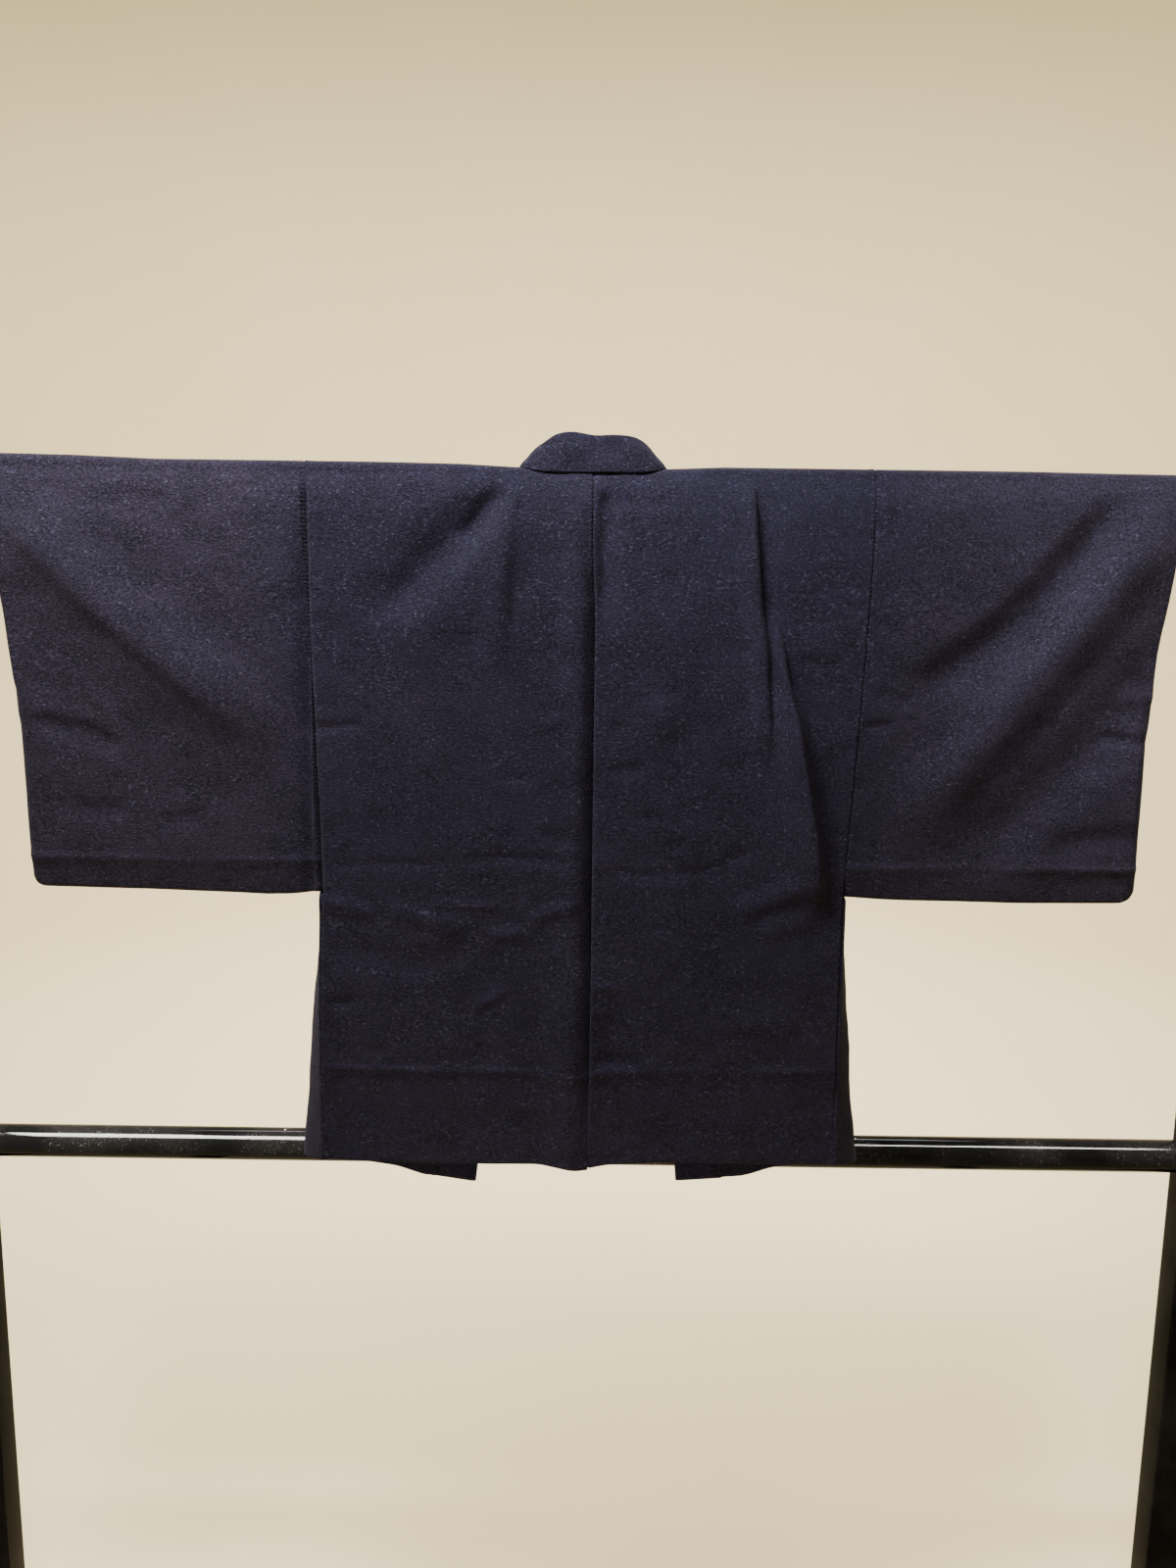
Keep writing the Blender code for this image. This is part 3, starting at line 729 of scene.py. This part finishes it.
def lay(rows, side, across, depth, inward, pinch=1.0, extra=0.0):
    """Points of cloth. A pinch below 1 brings the layers together, and inward goes towards the pole."""
    x = side * across
    lift, push_x, push_depth = relief(rows.layer, x, depth)
    inward = np.minimum(inward, blend(OVER_POLE_DEPTH, ALLOWANCE_DEPTH, ease(depth / POLE_CLEAR - 1)))
    half = half_gap(rows.layer, side, across, depth) + lift + extra
    y = rows.layer * np.maximum(half * pinch - inward, LEAST_HALF)
    angle = np.radians(rows.angle)
    over = rows.angle < 90
    y = np.where(over, rows.layer * (SHOULDER_RADIUS - inward) * np.sin(angle), y)
    depth = np.where(over, depth + inward * np.cos(angle), depth + push_depth)
    return np.column_stack([x + push_x, GARMENT_Y + y, SHOULDER_HEIGHT - depth])


def make_cloth(name, mesh, points, facts, thickness=CLOTH):
    """Move a grid's points into place, note their places in the strip, and add the wall."""
    strip = mesh.verts.layers.float_vector.new("cloth")
    for vert, point, fact in zip(mesh.verts, points, facts):
        vert.co = point
        vert[strip] = fact
    bmesh.ops.delete(mesh, geom=[v for v in mesh.verts if v.tag], context="VERTS")
    bmesh.ops.remove_doubles(mesh, verts=mesh.verts, dist=MERGE_REACH)
    area = sum(face.calc_area() for face in mesh.faces)
    cloth = finished(name, mesh, wool_cloth)
    wall = cloth.modifiers.new("wall", "SOLIDIFY")
    wall.thickness = thickness
    wall.offset = 0
    print(name, "has", len(cloth.data.polygons), "faces and", round(area, 3), "square metres of cloth")
    return cloth


print("cloth is", round(CLOTH * 1000, 1), "mm thick")

# %% [markdown]
# ## Body
# One strip makes the back and the front of one half. It is slit along the shoulder for the neck, and the
# front's inner edge runs outwards as it goes down, because the collar band takes up the rest. The hem is
# turned up by a hand's width inside. Its upper edge shows through as a faint line.

# %% Lay the two body strips
TURN_RIDGE = 2.1 * MM
TURN_RIDGE_ABOVE = 4.5 * MM
TURN_RIDGE_BELOW = 9 * MM
TURN_LEAN = 0.03
TURN_WANDER = 4 * MM
TURN_WAVES = 9
RIDGE_STEADY, RIDGE_CHANGE = 0.75, 0.9
CREASED_WIDTH = 230 * MM
SETTLE_ROUNDS = 4
CENTRE, NECK, OUTER = 0, 1, 2


def turned_edge(x, depth, line, ridge=TURN_RIDGE, lean=TURN_LEAN, wander=TURN_WANDER):
    """The ridge that a turned-up edge leaves outside it, and the lean of the cloth below."""
    wave = np.array([noise.noise(Vector((place * TURN_WAVES, 0.5, 0))) for place in x])
    from_line = depth - line + wave * wander
    width = np.where(from_line > 0, TURN_RIDGE_BELOW, TURN_RIDGE_ABOVE)
    height = ridge * (RIDGE_STEADY + RIDGE_CHANGE * wave)
    return height * np.exp(-((from_line / width) ** 2)) - lean * np.maximum(from_line, 0)


def body_columns(side):
    lap = 1 if side == LEFT else -1
    columns = seam_columns(CENTRE, 1, lap, side == RIGHT) + open_columns(CENTRE, NECK, NECK_HALF_WIDTH)
    columns += seam_columns(NECK, 1, 0, True) + open_columns(NECK, OUTER, CREASED_WIDTH, CREASE_CELL[side])
    return columns + seam_columns(OUTER, -1, 1, False)


def body_strip(side):
    rows = strip_rows(BODY_DROPS, turned_up=True)
    columns = body_columns(side)
    mesh, column, row = cloth_grid(columns, rows)
    in_row, in_column = picked(Row, rows, row), picked(Column, columns, column)
    on_back = in_row.layer == BACK
    first_neck_column = [entry.line for entry in columns].index(NECK)
    neck_row = rows.index((BACK, NECK_ANGLE, 0, 0, 0))
    for vert, in_slit in zip(mesh.verts, (column < first_neck_column) & (row > neck_row)):
        vert.tag = bool(in_slit)

    across = np.full(len(row), NECK_HALF_WIDTH)
    for _ in range(SETTLE_ROUNDS):
        hem = np.where(on_back, edge_at(BACK_HEM, side, across), edge_at(FRONT_HEM, side, across))
        depth = row_depth(in_row, side, across, hem)
        neck = np.where(on_back, NECK_HALF_WIDTH, edge_at(COLLAR_SEAM, side, depth))
        lines = [edge_at(CENTRE_DRIFT, side, depth), neck, edge_at(SLEEVE_SEAM, side, depth)]
        across = distance_across(in_column, lines)

    behind_neck = on_back & (in_column.line == NECK)
    inward = np.where(behind_neck & (in_column.share == 0), 0, in_column.inward)
    from_seam = np.where(behind_neck, FAR_FROM_SEAM, in_column.from_seam)
    turned = turned_share(in_row.turn)
    inward = inward * (1 - turned) + 2 * HEM_FOLD * turned
    extra = turned_edge(side * across, depth, hem - TURN_UP)
    points = lay(in_row, side, across, depth, inward, extra=extra)
    facts = np.column_stack([across, in_row.layer * (depth + 2 * in_row.rise), from_seam])
    return make_cloth(f"{SIDE_NAME[side]}_body_cloth", mesh, points, facts)


body = {side: body_strip(side) for side in SIDE_NAME}

# %% [markdown]
# ## Sleeves
# A sleeve is one length folded over the pole, closed along the bottom and up the outer edge to the cuff,
# with a small round corner. The hand comes out above that seam, where the edge is turned in as a hem.

# %% Lay the two sleeves
CUFF_OPENING = 246 * MM
CUFF_CLOSING = 70 * MM
CUFF_PINCH = 13 * MM
SLEEVE_CORNER = 18 * MM
SLEEVE_TURN_UP = 43 * MM
SLEEVE_RIDGE = 2.0 * MM
SLEEVE_LEAN = 0.12
SLEEVE_WANDER = 2 * MM
SLEEVE_WIDTH = 345 * MM
CLOSING_TURNS = [15, 30, 45, 60, 75, 90]
ARMHOLE, CUFF = 0, 1


def sleeve(side):
    fine_spots = [SLEEVE_DEPTH - SLEEVE_TURN_UP, ARM_DEPTH]
    drops = list(spaced(0, ARM_DEPTH, fine_spots) / ARM_DEPTH)
    rows = strip_rows(drops, turned_up=False)
    rows = [(BACK, 90, 1, turn, 0) for turn in CLOSING_TURNS[::-1]] + rows
    rows += [(FRONT, 90, 1, turn, 0) for turn in CLOSING_TURNS]
    columns = seam_columns(ARMHOLE, 1, 0, True) + open_columns(ARMHOLE, CUFF, SLEEVE_WIDTH)
    columns += cuff_columns(CUFF)
    mesh, column, row = cloth_grid(columns, rows)
    in_row, in_column = picked(Row, rows, row), picked(Column, columns, column)
    turn = np.radians(in_row.turn)

    across = np.full(len(row), SLEEVE_WIDTH)
    for _ in range(SETTLE_ROUNDS):
        depth = row_depth(in_row._replace(turn=0 * turn), side, across, BODY_LENGTH)
        depth = depth + SLEEVE_BOTTOM_HALF * np.sin(turn)
        depth = depth + (edge_at(SLEEVE_HEM, side, across) - SLEEVE_DEPTH) * ease(depth / SLEEVE_DEPTH) ** 3
        below_corner = np.clip(depth - (SLEEVE_DEPTH - SLEEVE_CORNER), 0, SLEEVE_CORNER)
        rounding = SLEEVE_CORNER - np.sqrt(SLEEVE_CORNER**2 - below_corner**2)
        lines = [edge_at(SLEEVE_SEAM, side, depth), edge_at(CUFF_EDGE, side, depth) - rounding]
        across = distance_across(in_column, lines)

    from_cuff = np.clip((lines[CUFF] - across) / CUFF_PINCH, 0, 1)
    closed = ease((depth - CUFF_OPENING) / CUFF_CLOSING)
    pinch = blend(1, np.sqrt(1 - (1 - from_cuff) ** 2), closed) * np.cos(turn)
    inward = in_column.inward * np.cos(turn)
    line = SLEEVE_DEPTH - SLEEVE_TURN_UP
    extra = turned_edge(side * across, depth, line, SLEEVE_RIDGE, SLEEVE_LEAN, SLEEVE_WANDER)
    points = lay(in_row, side, across, depth, inward, pinch, extra)
    points[in_row.turn == 90, 1] = GARMENT_Y
    facts = np.column_stack([across, in_row.layer * depth, in_column.from_seam])
    return make_cloth(f"{SIDE_NAME[side]}_sleeve_cloth", mesh, points, facts)


sleeves = {side: sleeve(side) for side in SIDE_NAME}

# %% [markdown]
# ## Gussets
# Under each sleeve a narrow wedge joins the back to the front, so that the jacket flares over a kimono.
# Hanging free, it bows outwards. Its section is a bow that grows towards the hem.

# %% Lay the two gussets
GUSSET_START = 2.5 * MM
GUSSET_TOP = 499.5 * MM
GUSSET_BOW = 1.4
GUSSET_SLACK = 1.5
GUSSET_NOISE = 3
GUSSET_TURNS = list(np.linspace(-90, 90, 19))


def gusset(side):
    drops = BODY_DROPS[BODY_DROPS >= 1]
    rows = layer_rows(BACK, drops, turned_up=True)[len(POLE_ANGLES):]
    bends = [-90, -90] + GUSSET_TURNS + [90, 90]
    mesh, column, row = cloth_grid(bends, rows)
    in_row = picked(Row, rows, row)
    bend = np.radians(np.array(bends)[column])
    at_edge = (column < 2) | (column > len(bends) - 3)
    in_allowance = (column == 0) | (column == len(bends) - 1)
    share = (1 + np.sin(bend)) / 2
    seam = edge_at(SLEEVE_SEAM, side, BODY_LENGTH)
    hem = blend(edge_at(BACK_HEM, side, seam), edge_at(FRONT_HEM, side, seam), share)
    depth = np.maximum(row_depth(in_row, side, seam, hem), GUSSET_TOP)
    across = edge_at(SLEEVE_SEAM, side, depth) + SEAM_GAP
    spread = []
    for layer in (BACK, FRONT):
        lift = relief(np.full(len(row), layer), side * across, depth)[0]
        spread.append(layer * (half_gap(layer, side, across, depth) + lift))
    turned = turned_share(in_row.turn)
    edge_depth = np.where(in_allowance, ALLOWANCE_DEPTH, SEAM_ROLL)
    inward = 2 * HEM_FOLD * turned + np.where(at_edge, edge_depth, 0) * (1 - turned)
    middle, half = (spread[0] + spread[1]) / 2, (spread[1] - spread[0]) / 2
    start = across + np.where(at_edge, 0, GUSSET_START) - np.where(in_allowance, SEAM_ALLOWANCE, 0)
    bulge = edge_at(GUSSET_EDGE, side, depth) - FRAME_CLOTH / 2 - across - GUSSET_START
    slack = uneven(side * GUSSET_NOISE, spread[1], depth) * GUSSET_SLACK
    bow = 1 - np.abs(np.sin(bend)) ** GUSSET_BOW
    x = start + np.where(at_edge, 0, (bulge - 2 * HEM_FOLD * turned + slack) * bow)
    y = middle + (half - inward) * np.sin(bend)
    points = np.column_stack([side * x, GARMENT_Y + y, SHOULDER_HEIGHT - depth])
    from_seam = np.where(at_edge, 0, FAR_FROM_SEAM)
    facts = np.column_stack([y, depth + 2 * in_row.rise, from_seam])
    return make_cloth(f"{SIDE_NAME[side]}_gusset_cloth", mesh, points, facts)


gussets = {side: gusset(side) for side in SIDE_NAME}

# %% [markdown]
# ## Collar
# The collar is a long doubled band, sewn round the neck and down both fronts. It stands up from its seam,
# folds outwards and falls again, so from behind only its fallen half shows. It is modelled as sections
# along the seam: where the seam is, and how far and which way the folded edge lies from it.

# %% Lay the collar band
NECK_SECTIONS = [
    # Seam x, y and depth, then the edge's x, y and rise from it
    (-84, 12.0, 18, 28, 12, 17),
    (-82, 8.5, 5, 19, 14, 16),
    (-79, 0.0, 1.5, 18, 12, 18),
    (-72, -6.0, 4, 16, 9, 26),
    (-62, -8.6, 5.5, 12, 8, 33),
    (-48, -9.2, 5.5, 6, 7, 40),
    (-25, -9.4, 5.5, 2, 7, 43.5),
    (0, -9.4, 5.5, 0, 7, 38),
    (25, -9.4, 5.5, -1, 7, 39.5),
    (48, -9.2, 5.5, -5, 7, 39),
    (64, -8.6, 5.5, -11, 8, 35),
    (74, -6.0, 4, -16, 9, 29),
    (80, 0.0, 1.5, -17, 12, 22),
    (83, 8.5, 5, -18, 14, 19),
    (84, 12.0, 18, -27, 12, 17),
]
BAND_PROFILE = [
    (0.0, 0.0), (0.5, 0.0), (0.93, 0.0), (1.0, 0.5), (0.93, 1.0), (0.5, 1.25), (0.1, 1.1), (-0.1, 0.6)
]
BAND_SPACING = 3.4 * MM
BAND_WAVE = 24 * MM
BAND_WAVINESS = 2.8 * MM
COLLAR_CLOTH = 2.2 * MM
COLLAR_LIFT = 1.5 * MM
COLLAR_TURN_END = 120 * MM
COLLAR_TURN_OUT = 9 * MM
COLLAR_TURN_UP = 14 * MM
COLLAR_FRONT_START = 30 * MM
BAND_WIDTH = 60 * MM
BAND_THINNESS = 0.06
BAND_COLUMNS = 27
BAND_CELL = 4.2 * MM
ROUNDING_PASSES = 6


def smooth_through(points, spacing):
    """A curve through points, as a row of evenly spaced ones, with its corners rounded."""
    points = np.array(points, dtype=float)
    lengths = np.linalg.norm(np.diff(points[:, :3], axis=0), axis=1)
    places = np.concatenate([[0], np.cumsum(lengths)])
    even = np.linspace(0, places[-1], round(places[-1] / spacing) + 1)
    path = np.column_stack([np.interp(even, places, column) for column in points.T])
    for _ in range(ROUNDING_PASSES):
        path[1:-1] = path[1:-1] / 2 + (path[:-2] + path[2:]) / 4
    return path


def front_sections(side):
    """Seam points and reaches down one front, below the neck."""
    rows = picked(Row, [(FRONT, 90, drop, 0, 0) for drop in BODY_DROPS], slice(None))
    across = np.full(len(BODY_DROPS), NECK_HALF_WIDTH)
    for _ in range(SETTLE_ROUNDS):
        hem = edge_at(COLLAR_HEM, side, across)
        depth = row_depth(rows, side, across, hem)
        across = edge_at(COLLAR_SEAM, side, depth)
    width = edge_at(COLLAR_WIDTH, side, depth)
    lift = relief(rows.layer, side * across, depth)[0]
    y = half_gap(FRONT, side, across, depth) + lift
    turn = 1 - ease(depth / COLLAR_TURN_END)
    slope = (edge_at(COLLAR_HEM, side, across - width) - hem) * depth / BODY_LENGTH
    outward, upward = COLLAR_LIFT + COLLAR_TURN_OUT * turn, COLLAR_TURN_UP * turn - slope
    sections = np.column_stack([side * across, y, -depth, -side * width, outward, upward])
    return sections[depth > COLLAR_FRONT_START]


def collar():
    neck = np.array(NECK_SECTIONS) * MM * [1, 1, -1, 1, 1, 1]
    sections = [front_sections(LEFT)[::-1], neck, front_sections(RIGHT)]
    path = smooth_through(np.concatenate(sections), BAND_CELL)
    seam, reach = path[:, :3], path[:, 3:]
    tangent = np.gradient(seam, axis=0)
    outward = np.cross(tangent, reach)
    outward /= np.linalg.norm(outward, axis=1)[:, None]
    section = [(share, layers * BAND_THINNESS, 0) for share, layers in BAND_PROFILE]
    profile = smooth_through(section, 1 / BAND_COLUMNS)
    share, layers = profile[:, 0], profile[:, 1] / BAND_THINNESS
    mesh, column, row = cloth_grid(profile, path)
    length = np.concatenate([[0], np.cumsum(np.linalg.norm(np.diff(seam, axis=0), axis=1))])
    points = seam[row] + reach[row] * share[column, None]
    waves = [noise.noise(Vector(point) / BAND_WAVE) for point in points]
    points += outward[row] * (layers[column] * (BAND_SPACING + BAND_WAVINESS * np.array(waves)))[:, None]
    points += [0, GARMENT_Y, SHOULDER_HEIGHT]
    facts = np.column_stack([share[column] * BAND_WIDTH, length[row], np.full(len(row), FAR_FROM_SEAM)])
    return make_cloth("collar_band", mesh, points, facts, COLLAR_CLOTH)


collar_band = collar()

# %% [markdown]
# ## Stand
# Two square posts stand on cross feet, with a round rail high up, another low down, and a notched rest for
# the pole on each post. Each piece keeps the place and size of the plain one in the frame, with a finer
# round and softer edges.

# %% Turn and plane the stand
BAR_SEGMENTS = 96
POST_EDGE = 4 * MM
FOOT_EDGE = 8 * MM
REST_EDGE = 1.2 * MM
BAR_EDGE = 2 * MM
RAIL_EDGE = 0.3 * MM
BAR_STEPS = 4
BLOCK_STEPS = 6
REST_STEPS = 3
SHADED_SHARP = math.radians(35)
CUT_SHARP = math.radians(40)


def make_wood(name, mesh, material, node):
    wood = finished(name, mesh, material)
    wood.data.set_sharp_from_angle(angle=SHADED_SHARP)
    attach(wood, "root")
    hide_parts(node)
    print(name, "has", len(wood.data.polygons), "faces")
    return wood


def soften(mesh, edges, width, steps):
    """Round off some edges."""
    bmesh.ops.bevel(mesh, geom=edges, offset=width, segments=steps, profile=0.5, affect="EDGES", material=-1)


def size_and_centre(node):
    low, high = (Vector(corner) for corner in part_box(node))
    return high - low, (low + high) / 2


def turned_bar(name, node, material, edge):
    """A round bar along X with eased ends."""
    size, centre = size_and_centre(node)
    radius = size.z / 2
    mesh = bmesh.new()
    round_size = {"segments": BAR_SEGMENTS, "radius1": radius, "radius2": radius, "depth": size.x}
    bmesh.ops.create_cone(mesh, cap_ends=True, **round_size)
    rims = [rim for rim in mesh.edges if abs(rim.verts[0].co.z - rim.verts[1].co.z) < MM]
    soften(mesh, rims, edge, BAR_STEPS)
    bmesh.ops.rotate(mesh, verts=mesh.verts, matrix=Matrix.Rotation(math.pi / 2, 3, "Y"))
    bmesh.ops.translate(mesh, verts=mesh.verts, vec=centre)
    return make_wood(name, mesh, material, node)


def planed_block(name, node, edge):
    """A block with rounded edges."""
    size, centre = size_and_centre(node)
    mesh = bmesh.new()
    bmesh.ops.create_cube(mesh, size=1.0)
    bmesh.ops.scale(mesh, vec=size, verts=mesh.verts)
    soften(mesh, mesh.edges[:], edge, BLOCK_STEPS)
    bmesh.ops.translate(mesh, verts=mesh.verts, vec=centre)
    return make_wood(name, mesh, black_lacquer, node)


rails = [
    turned_bar("upper_rail", "rail_top", polished_lacquer, RAIL_EDGE),
    turned_bar("lower_rail", "rail_lower", polished_lacquer, RAIL_EDGE),
]
pole = turned_bar("sleeve_pole", "sleeve_rod", pole_wood, BAR_EDGE)
for name in SIDE_NAME.values():
    planed_block(f"{name}_post", f"post_{name}", POST_EDGE)
    planed_block(f"{name}_foot", f"foot_{name}", FOOT_EDGE)

# %% [markdown]
# ## Rests for the pole
# Seen from its end, a rest is a block with a slot that has a round bottom. `spin` draws that round from
# one point, the outline goes on from its end round the block, and then it is filled and extruded.

# %% Cut the two rests
POLE_CLEARANCE = 0.3 * MM
ROUND_STEPS = 24


def spun_end(mesh, geometry, centre, axis, angle, steps, merge):
    """Spin some geometry round an axis, and return what is at its end."""
    turn = {"axis": axis, "angle": angle, "steps": steps, "use_merge": merge}
    return bmesh.ops.spin(mesh, geom=geometry, cent=centre, **turn)["geom_last"]


def pole_rest(side_name):
    node = f"rod_rest_{side_name}"
    low, high = (Vector(corner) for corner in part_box(node))
    pole_size, pole_centre = size_and_centre("sleeve_rod")
    radius = pole_size.z / 2 + POLE_CLEARANCE
    middle = Vector((low.x, pole_centre.y, pole_centre.z))
    mesh = bmesh.new()
    first = mesh.verts.new(middle + Vector((0, radius, 0)))
    last = spun_end(mesh, [first], middle, (1, 0, 0), -math.pi, ROUND_STEPS, False)[0]
    outline = [(last.co.y, high.z), (low.y, high.z), (low.y, low.z)]
    outline += [(high.y, low.z), (high.y, high.z), (first.co.y, high.z)]
    before = last
    for y, z in outline:
        corner = mesh.verts.new((low.x, y, z))
        mesh.edges.new((before, corner))
        before = corner
    mesh.edges.new((before, first))
    side_face = bmesh.ops.contextual_create(mesh, geom=mesh.edges[:])["faces"]
    swept = bmesh.ops.extrude_face_region(mesh, geom=side_face)["geom"]
    moved = [item for item in swept if isinstance(item, bmesh.types.BMVert)]
    bmesh.ops.translate(mesh, verts=moved, vec=(high.x - low.x, 0, 0))
    bmesh.ops.recalc_face_normals(mesh, faces=mesh.faces)
    sharp = [edge for edge in mesh.edges if edge.calc_face_angle(0) > CUT_SHARP]
    soften(mesh, sharp, REST_EDGE, REST_STEPS)
    return make_wood(f"{side_name}_rest", mesh, black_lacquer, node)


for name in SIDE_NAME.values():
    pole_rest(name)

# %% [markdown]
# ## Put every piece on the one body
# Every piece rides on the one body. The cloth pieces take the place of the plain solids of the frame,
# which are hidden.

Cut = namedtuple("Cut", "width length area")


def declare(cloth, node):
    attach(cloth, "root")
    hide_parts(node)


for side, name in SIDE_NAME.items():
    declare(body[side], f"body_{name}")
    declare(sleeves[side], f"sleeve_{name}")
    declare(gussets[side], f"gusset_{name}")
declare(collar_band, "collar")

# %% [markdown]
# ## Floor and lamps
# A plain pale floor bends up into a wall far away on every side, so that no line crosses behind the
# jacket. Two soft lamps hang over the left half of its back, so that every fold has its shade on the
# right. Two small ones reach only the right sleeve and the collar, and two low ones lift the shade and the
# hem. Two long tubes light the rails alone: they make the streaks in the lacquer. The far lamp is for the
# wall.

# %% Set the stage
FLOOR_RADIUS = 4.6
COVE_RADIUS = 2.4
WALL_HEIGHT = 6.0
FLOOR_COLOUR = (0.79, 0.67, 0.41, 1)
FLOOR_SHADE = (0.75, 0.63, 0.37, 1)
COVE_STEPS = 16
TURN_STEPS = 96
SKY_COLOUR = (0.80, 0.88, 1.0, 1)
SKY_STRENGTH = 0.35
LAMP_COLOUR = (1.0, 0.975, 0.94)
Lamp = namedtuple("Lamp", "place aim width length power spread", defaults=[180])
LAMPS = {
    "left_lamp": Lamp((-0.98, -0.64, 2.58), (-0.98, -0.58, 0), 0.5, 0.3, 35),
    "middle_lamp": Lamp((-0.37, -0.64, 2.58), (-0.37, -0.58, 0), 0.4, 0.3, 80),
    "right_lamp": Lamp((0.40, -0.64, 2.58), (0.70, -0.09, 1.52), 0.3, 0.3, 3.0, 38),
    "collar_lamp": Lamp((-0.12, -0.72, 2.58), (0.16, -0.09, 1.82), 0.2, 0.2, 1.3, 40),
    "left_tube": Lamp((-1.30, -0.72, 2.58), (-1.30, -0.1, 0), 1.4, 0.8, 2200),
    "right_tube": Lamp((1.30, -0.50, 2.58), (1.30, -0.1, 0), 1.3, 0.25, 560),
    "fill_lamp": Lamp((0, -3.3, 0.7), (0, 0, 1.0), 2.0, 1.0, 14),
    "hem_lamp": Lamp((0, -2.2, 0.35), (0, -0.05, 0.60), 0.6, 0.2, 1.3, 24),
    "far_lamp": Lamp((0, 2.2, 4.2), (0, 4.2, 0.9), 4.0, 1.2, 620),
}
TUBES = ("left_tube", "right_tube")


def sweep_floor():
    mesh = bmesh.new()
    path = [mesh.verts.new((0, 0, 0)), mesh.verts.new((FLOOR_RADIUS, 0, 0))]
    mesh.edges.new(path)
    centre = (FLOOR_RADIUS, 0, COVE_RADIUS)
    top = spun_end(mesh, [path[1]], centre, (0, 1, 0), -math.pi / 2, COVE_STEPS, False)[0]
    wall = mesh.verts.new((top.co.x, 0, WALL_HEIGHT))
    mesh.edges.new((top, wall))
    spun_end(mesh, mesh.verts[:] + mesh.edges[:], (0, 0, 0), (0, 0, 1), math.tau, TURN_STEPS, True)
    bmesh.ops.remove_doubles(mesh, verts=mesh.verts, dist=MM)
    plaster = Finish("pale_floor", {"Roughness": 0.8, "Specular IOR Level": 0.2})
    cloud = plaster.speckle(plaster.place(), 1.2, 3.0)
    plaster.show("Base Color", plaster.tint(cloud, FLOOR_COLOUR, FLOOR_SHADE))
    finished("floor", mesh, plaster.material)


def hang_lamp(name, lamp, only_on=()):
    """Hang a lamp that isn't seen itself. It shines on everything or only on some pieces."""
    light = bpy.data.lights.new(name, "AREA")
    light.shape = "RECTANGLE"
    light.size, light.size_y = lamp.width, lamp.length
    light.energy = lamp.power
    light.spread = math.radians(lamp.spread)
    light.color = LAMP_COLOUR
    holder = placed(name, light)
    holder.location = lamp.place
    holder.rotation_euler = (Vector(lamp.aim) - Vector(lamp.place)).to_track_quat("-Z", "Y").to_euler()
    holder.visible_camera = False
    if only_on:
        lit = bpy.data.collections.new(name)
        for piece in only_on:
            lit.objects.link(piece)
        holder.light_linking.receiver_collection = lit


sweep_floor()
for name, lamp in LAMPS.items():
    hang_lamp(name, lamp, rails if name in TUBES else ())

world = bpy.data.worlds.new("studio")
bpy.context.scene.world = world
world.use_nodes = True
background = world.node_tree.nodes["Background"].inputs
background["Color"].default_value = SKY_COLOUR
background["Strength"].default_value = SKY_STRENGTH
print("lamps:", ", ".join(LAMPS))
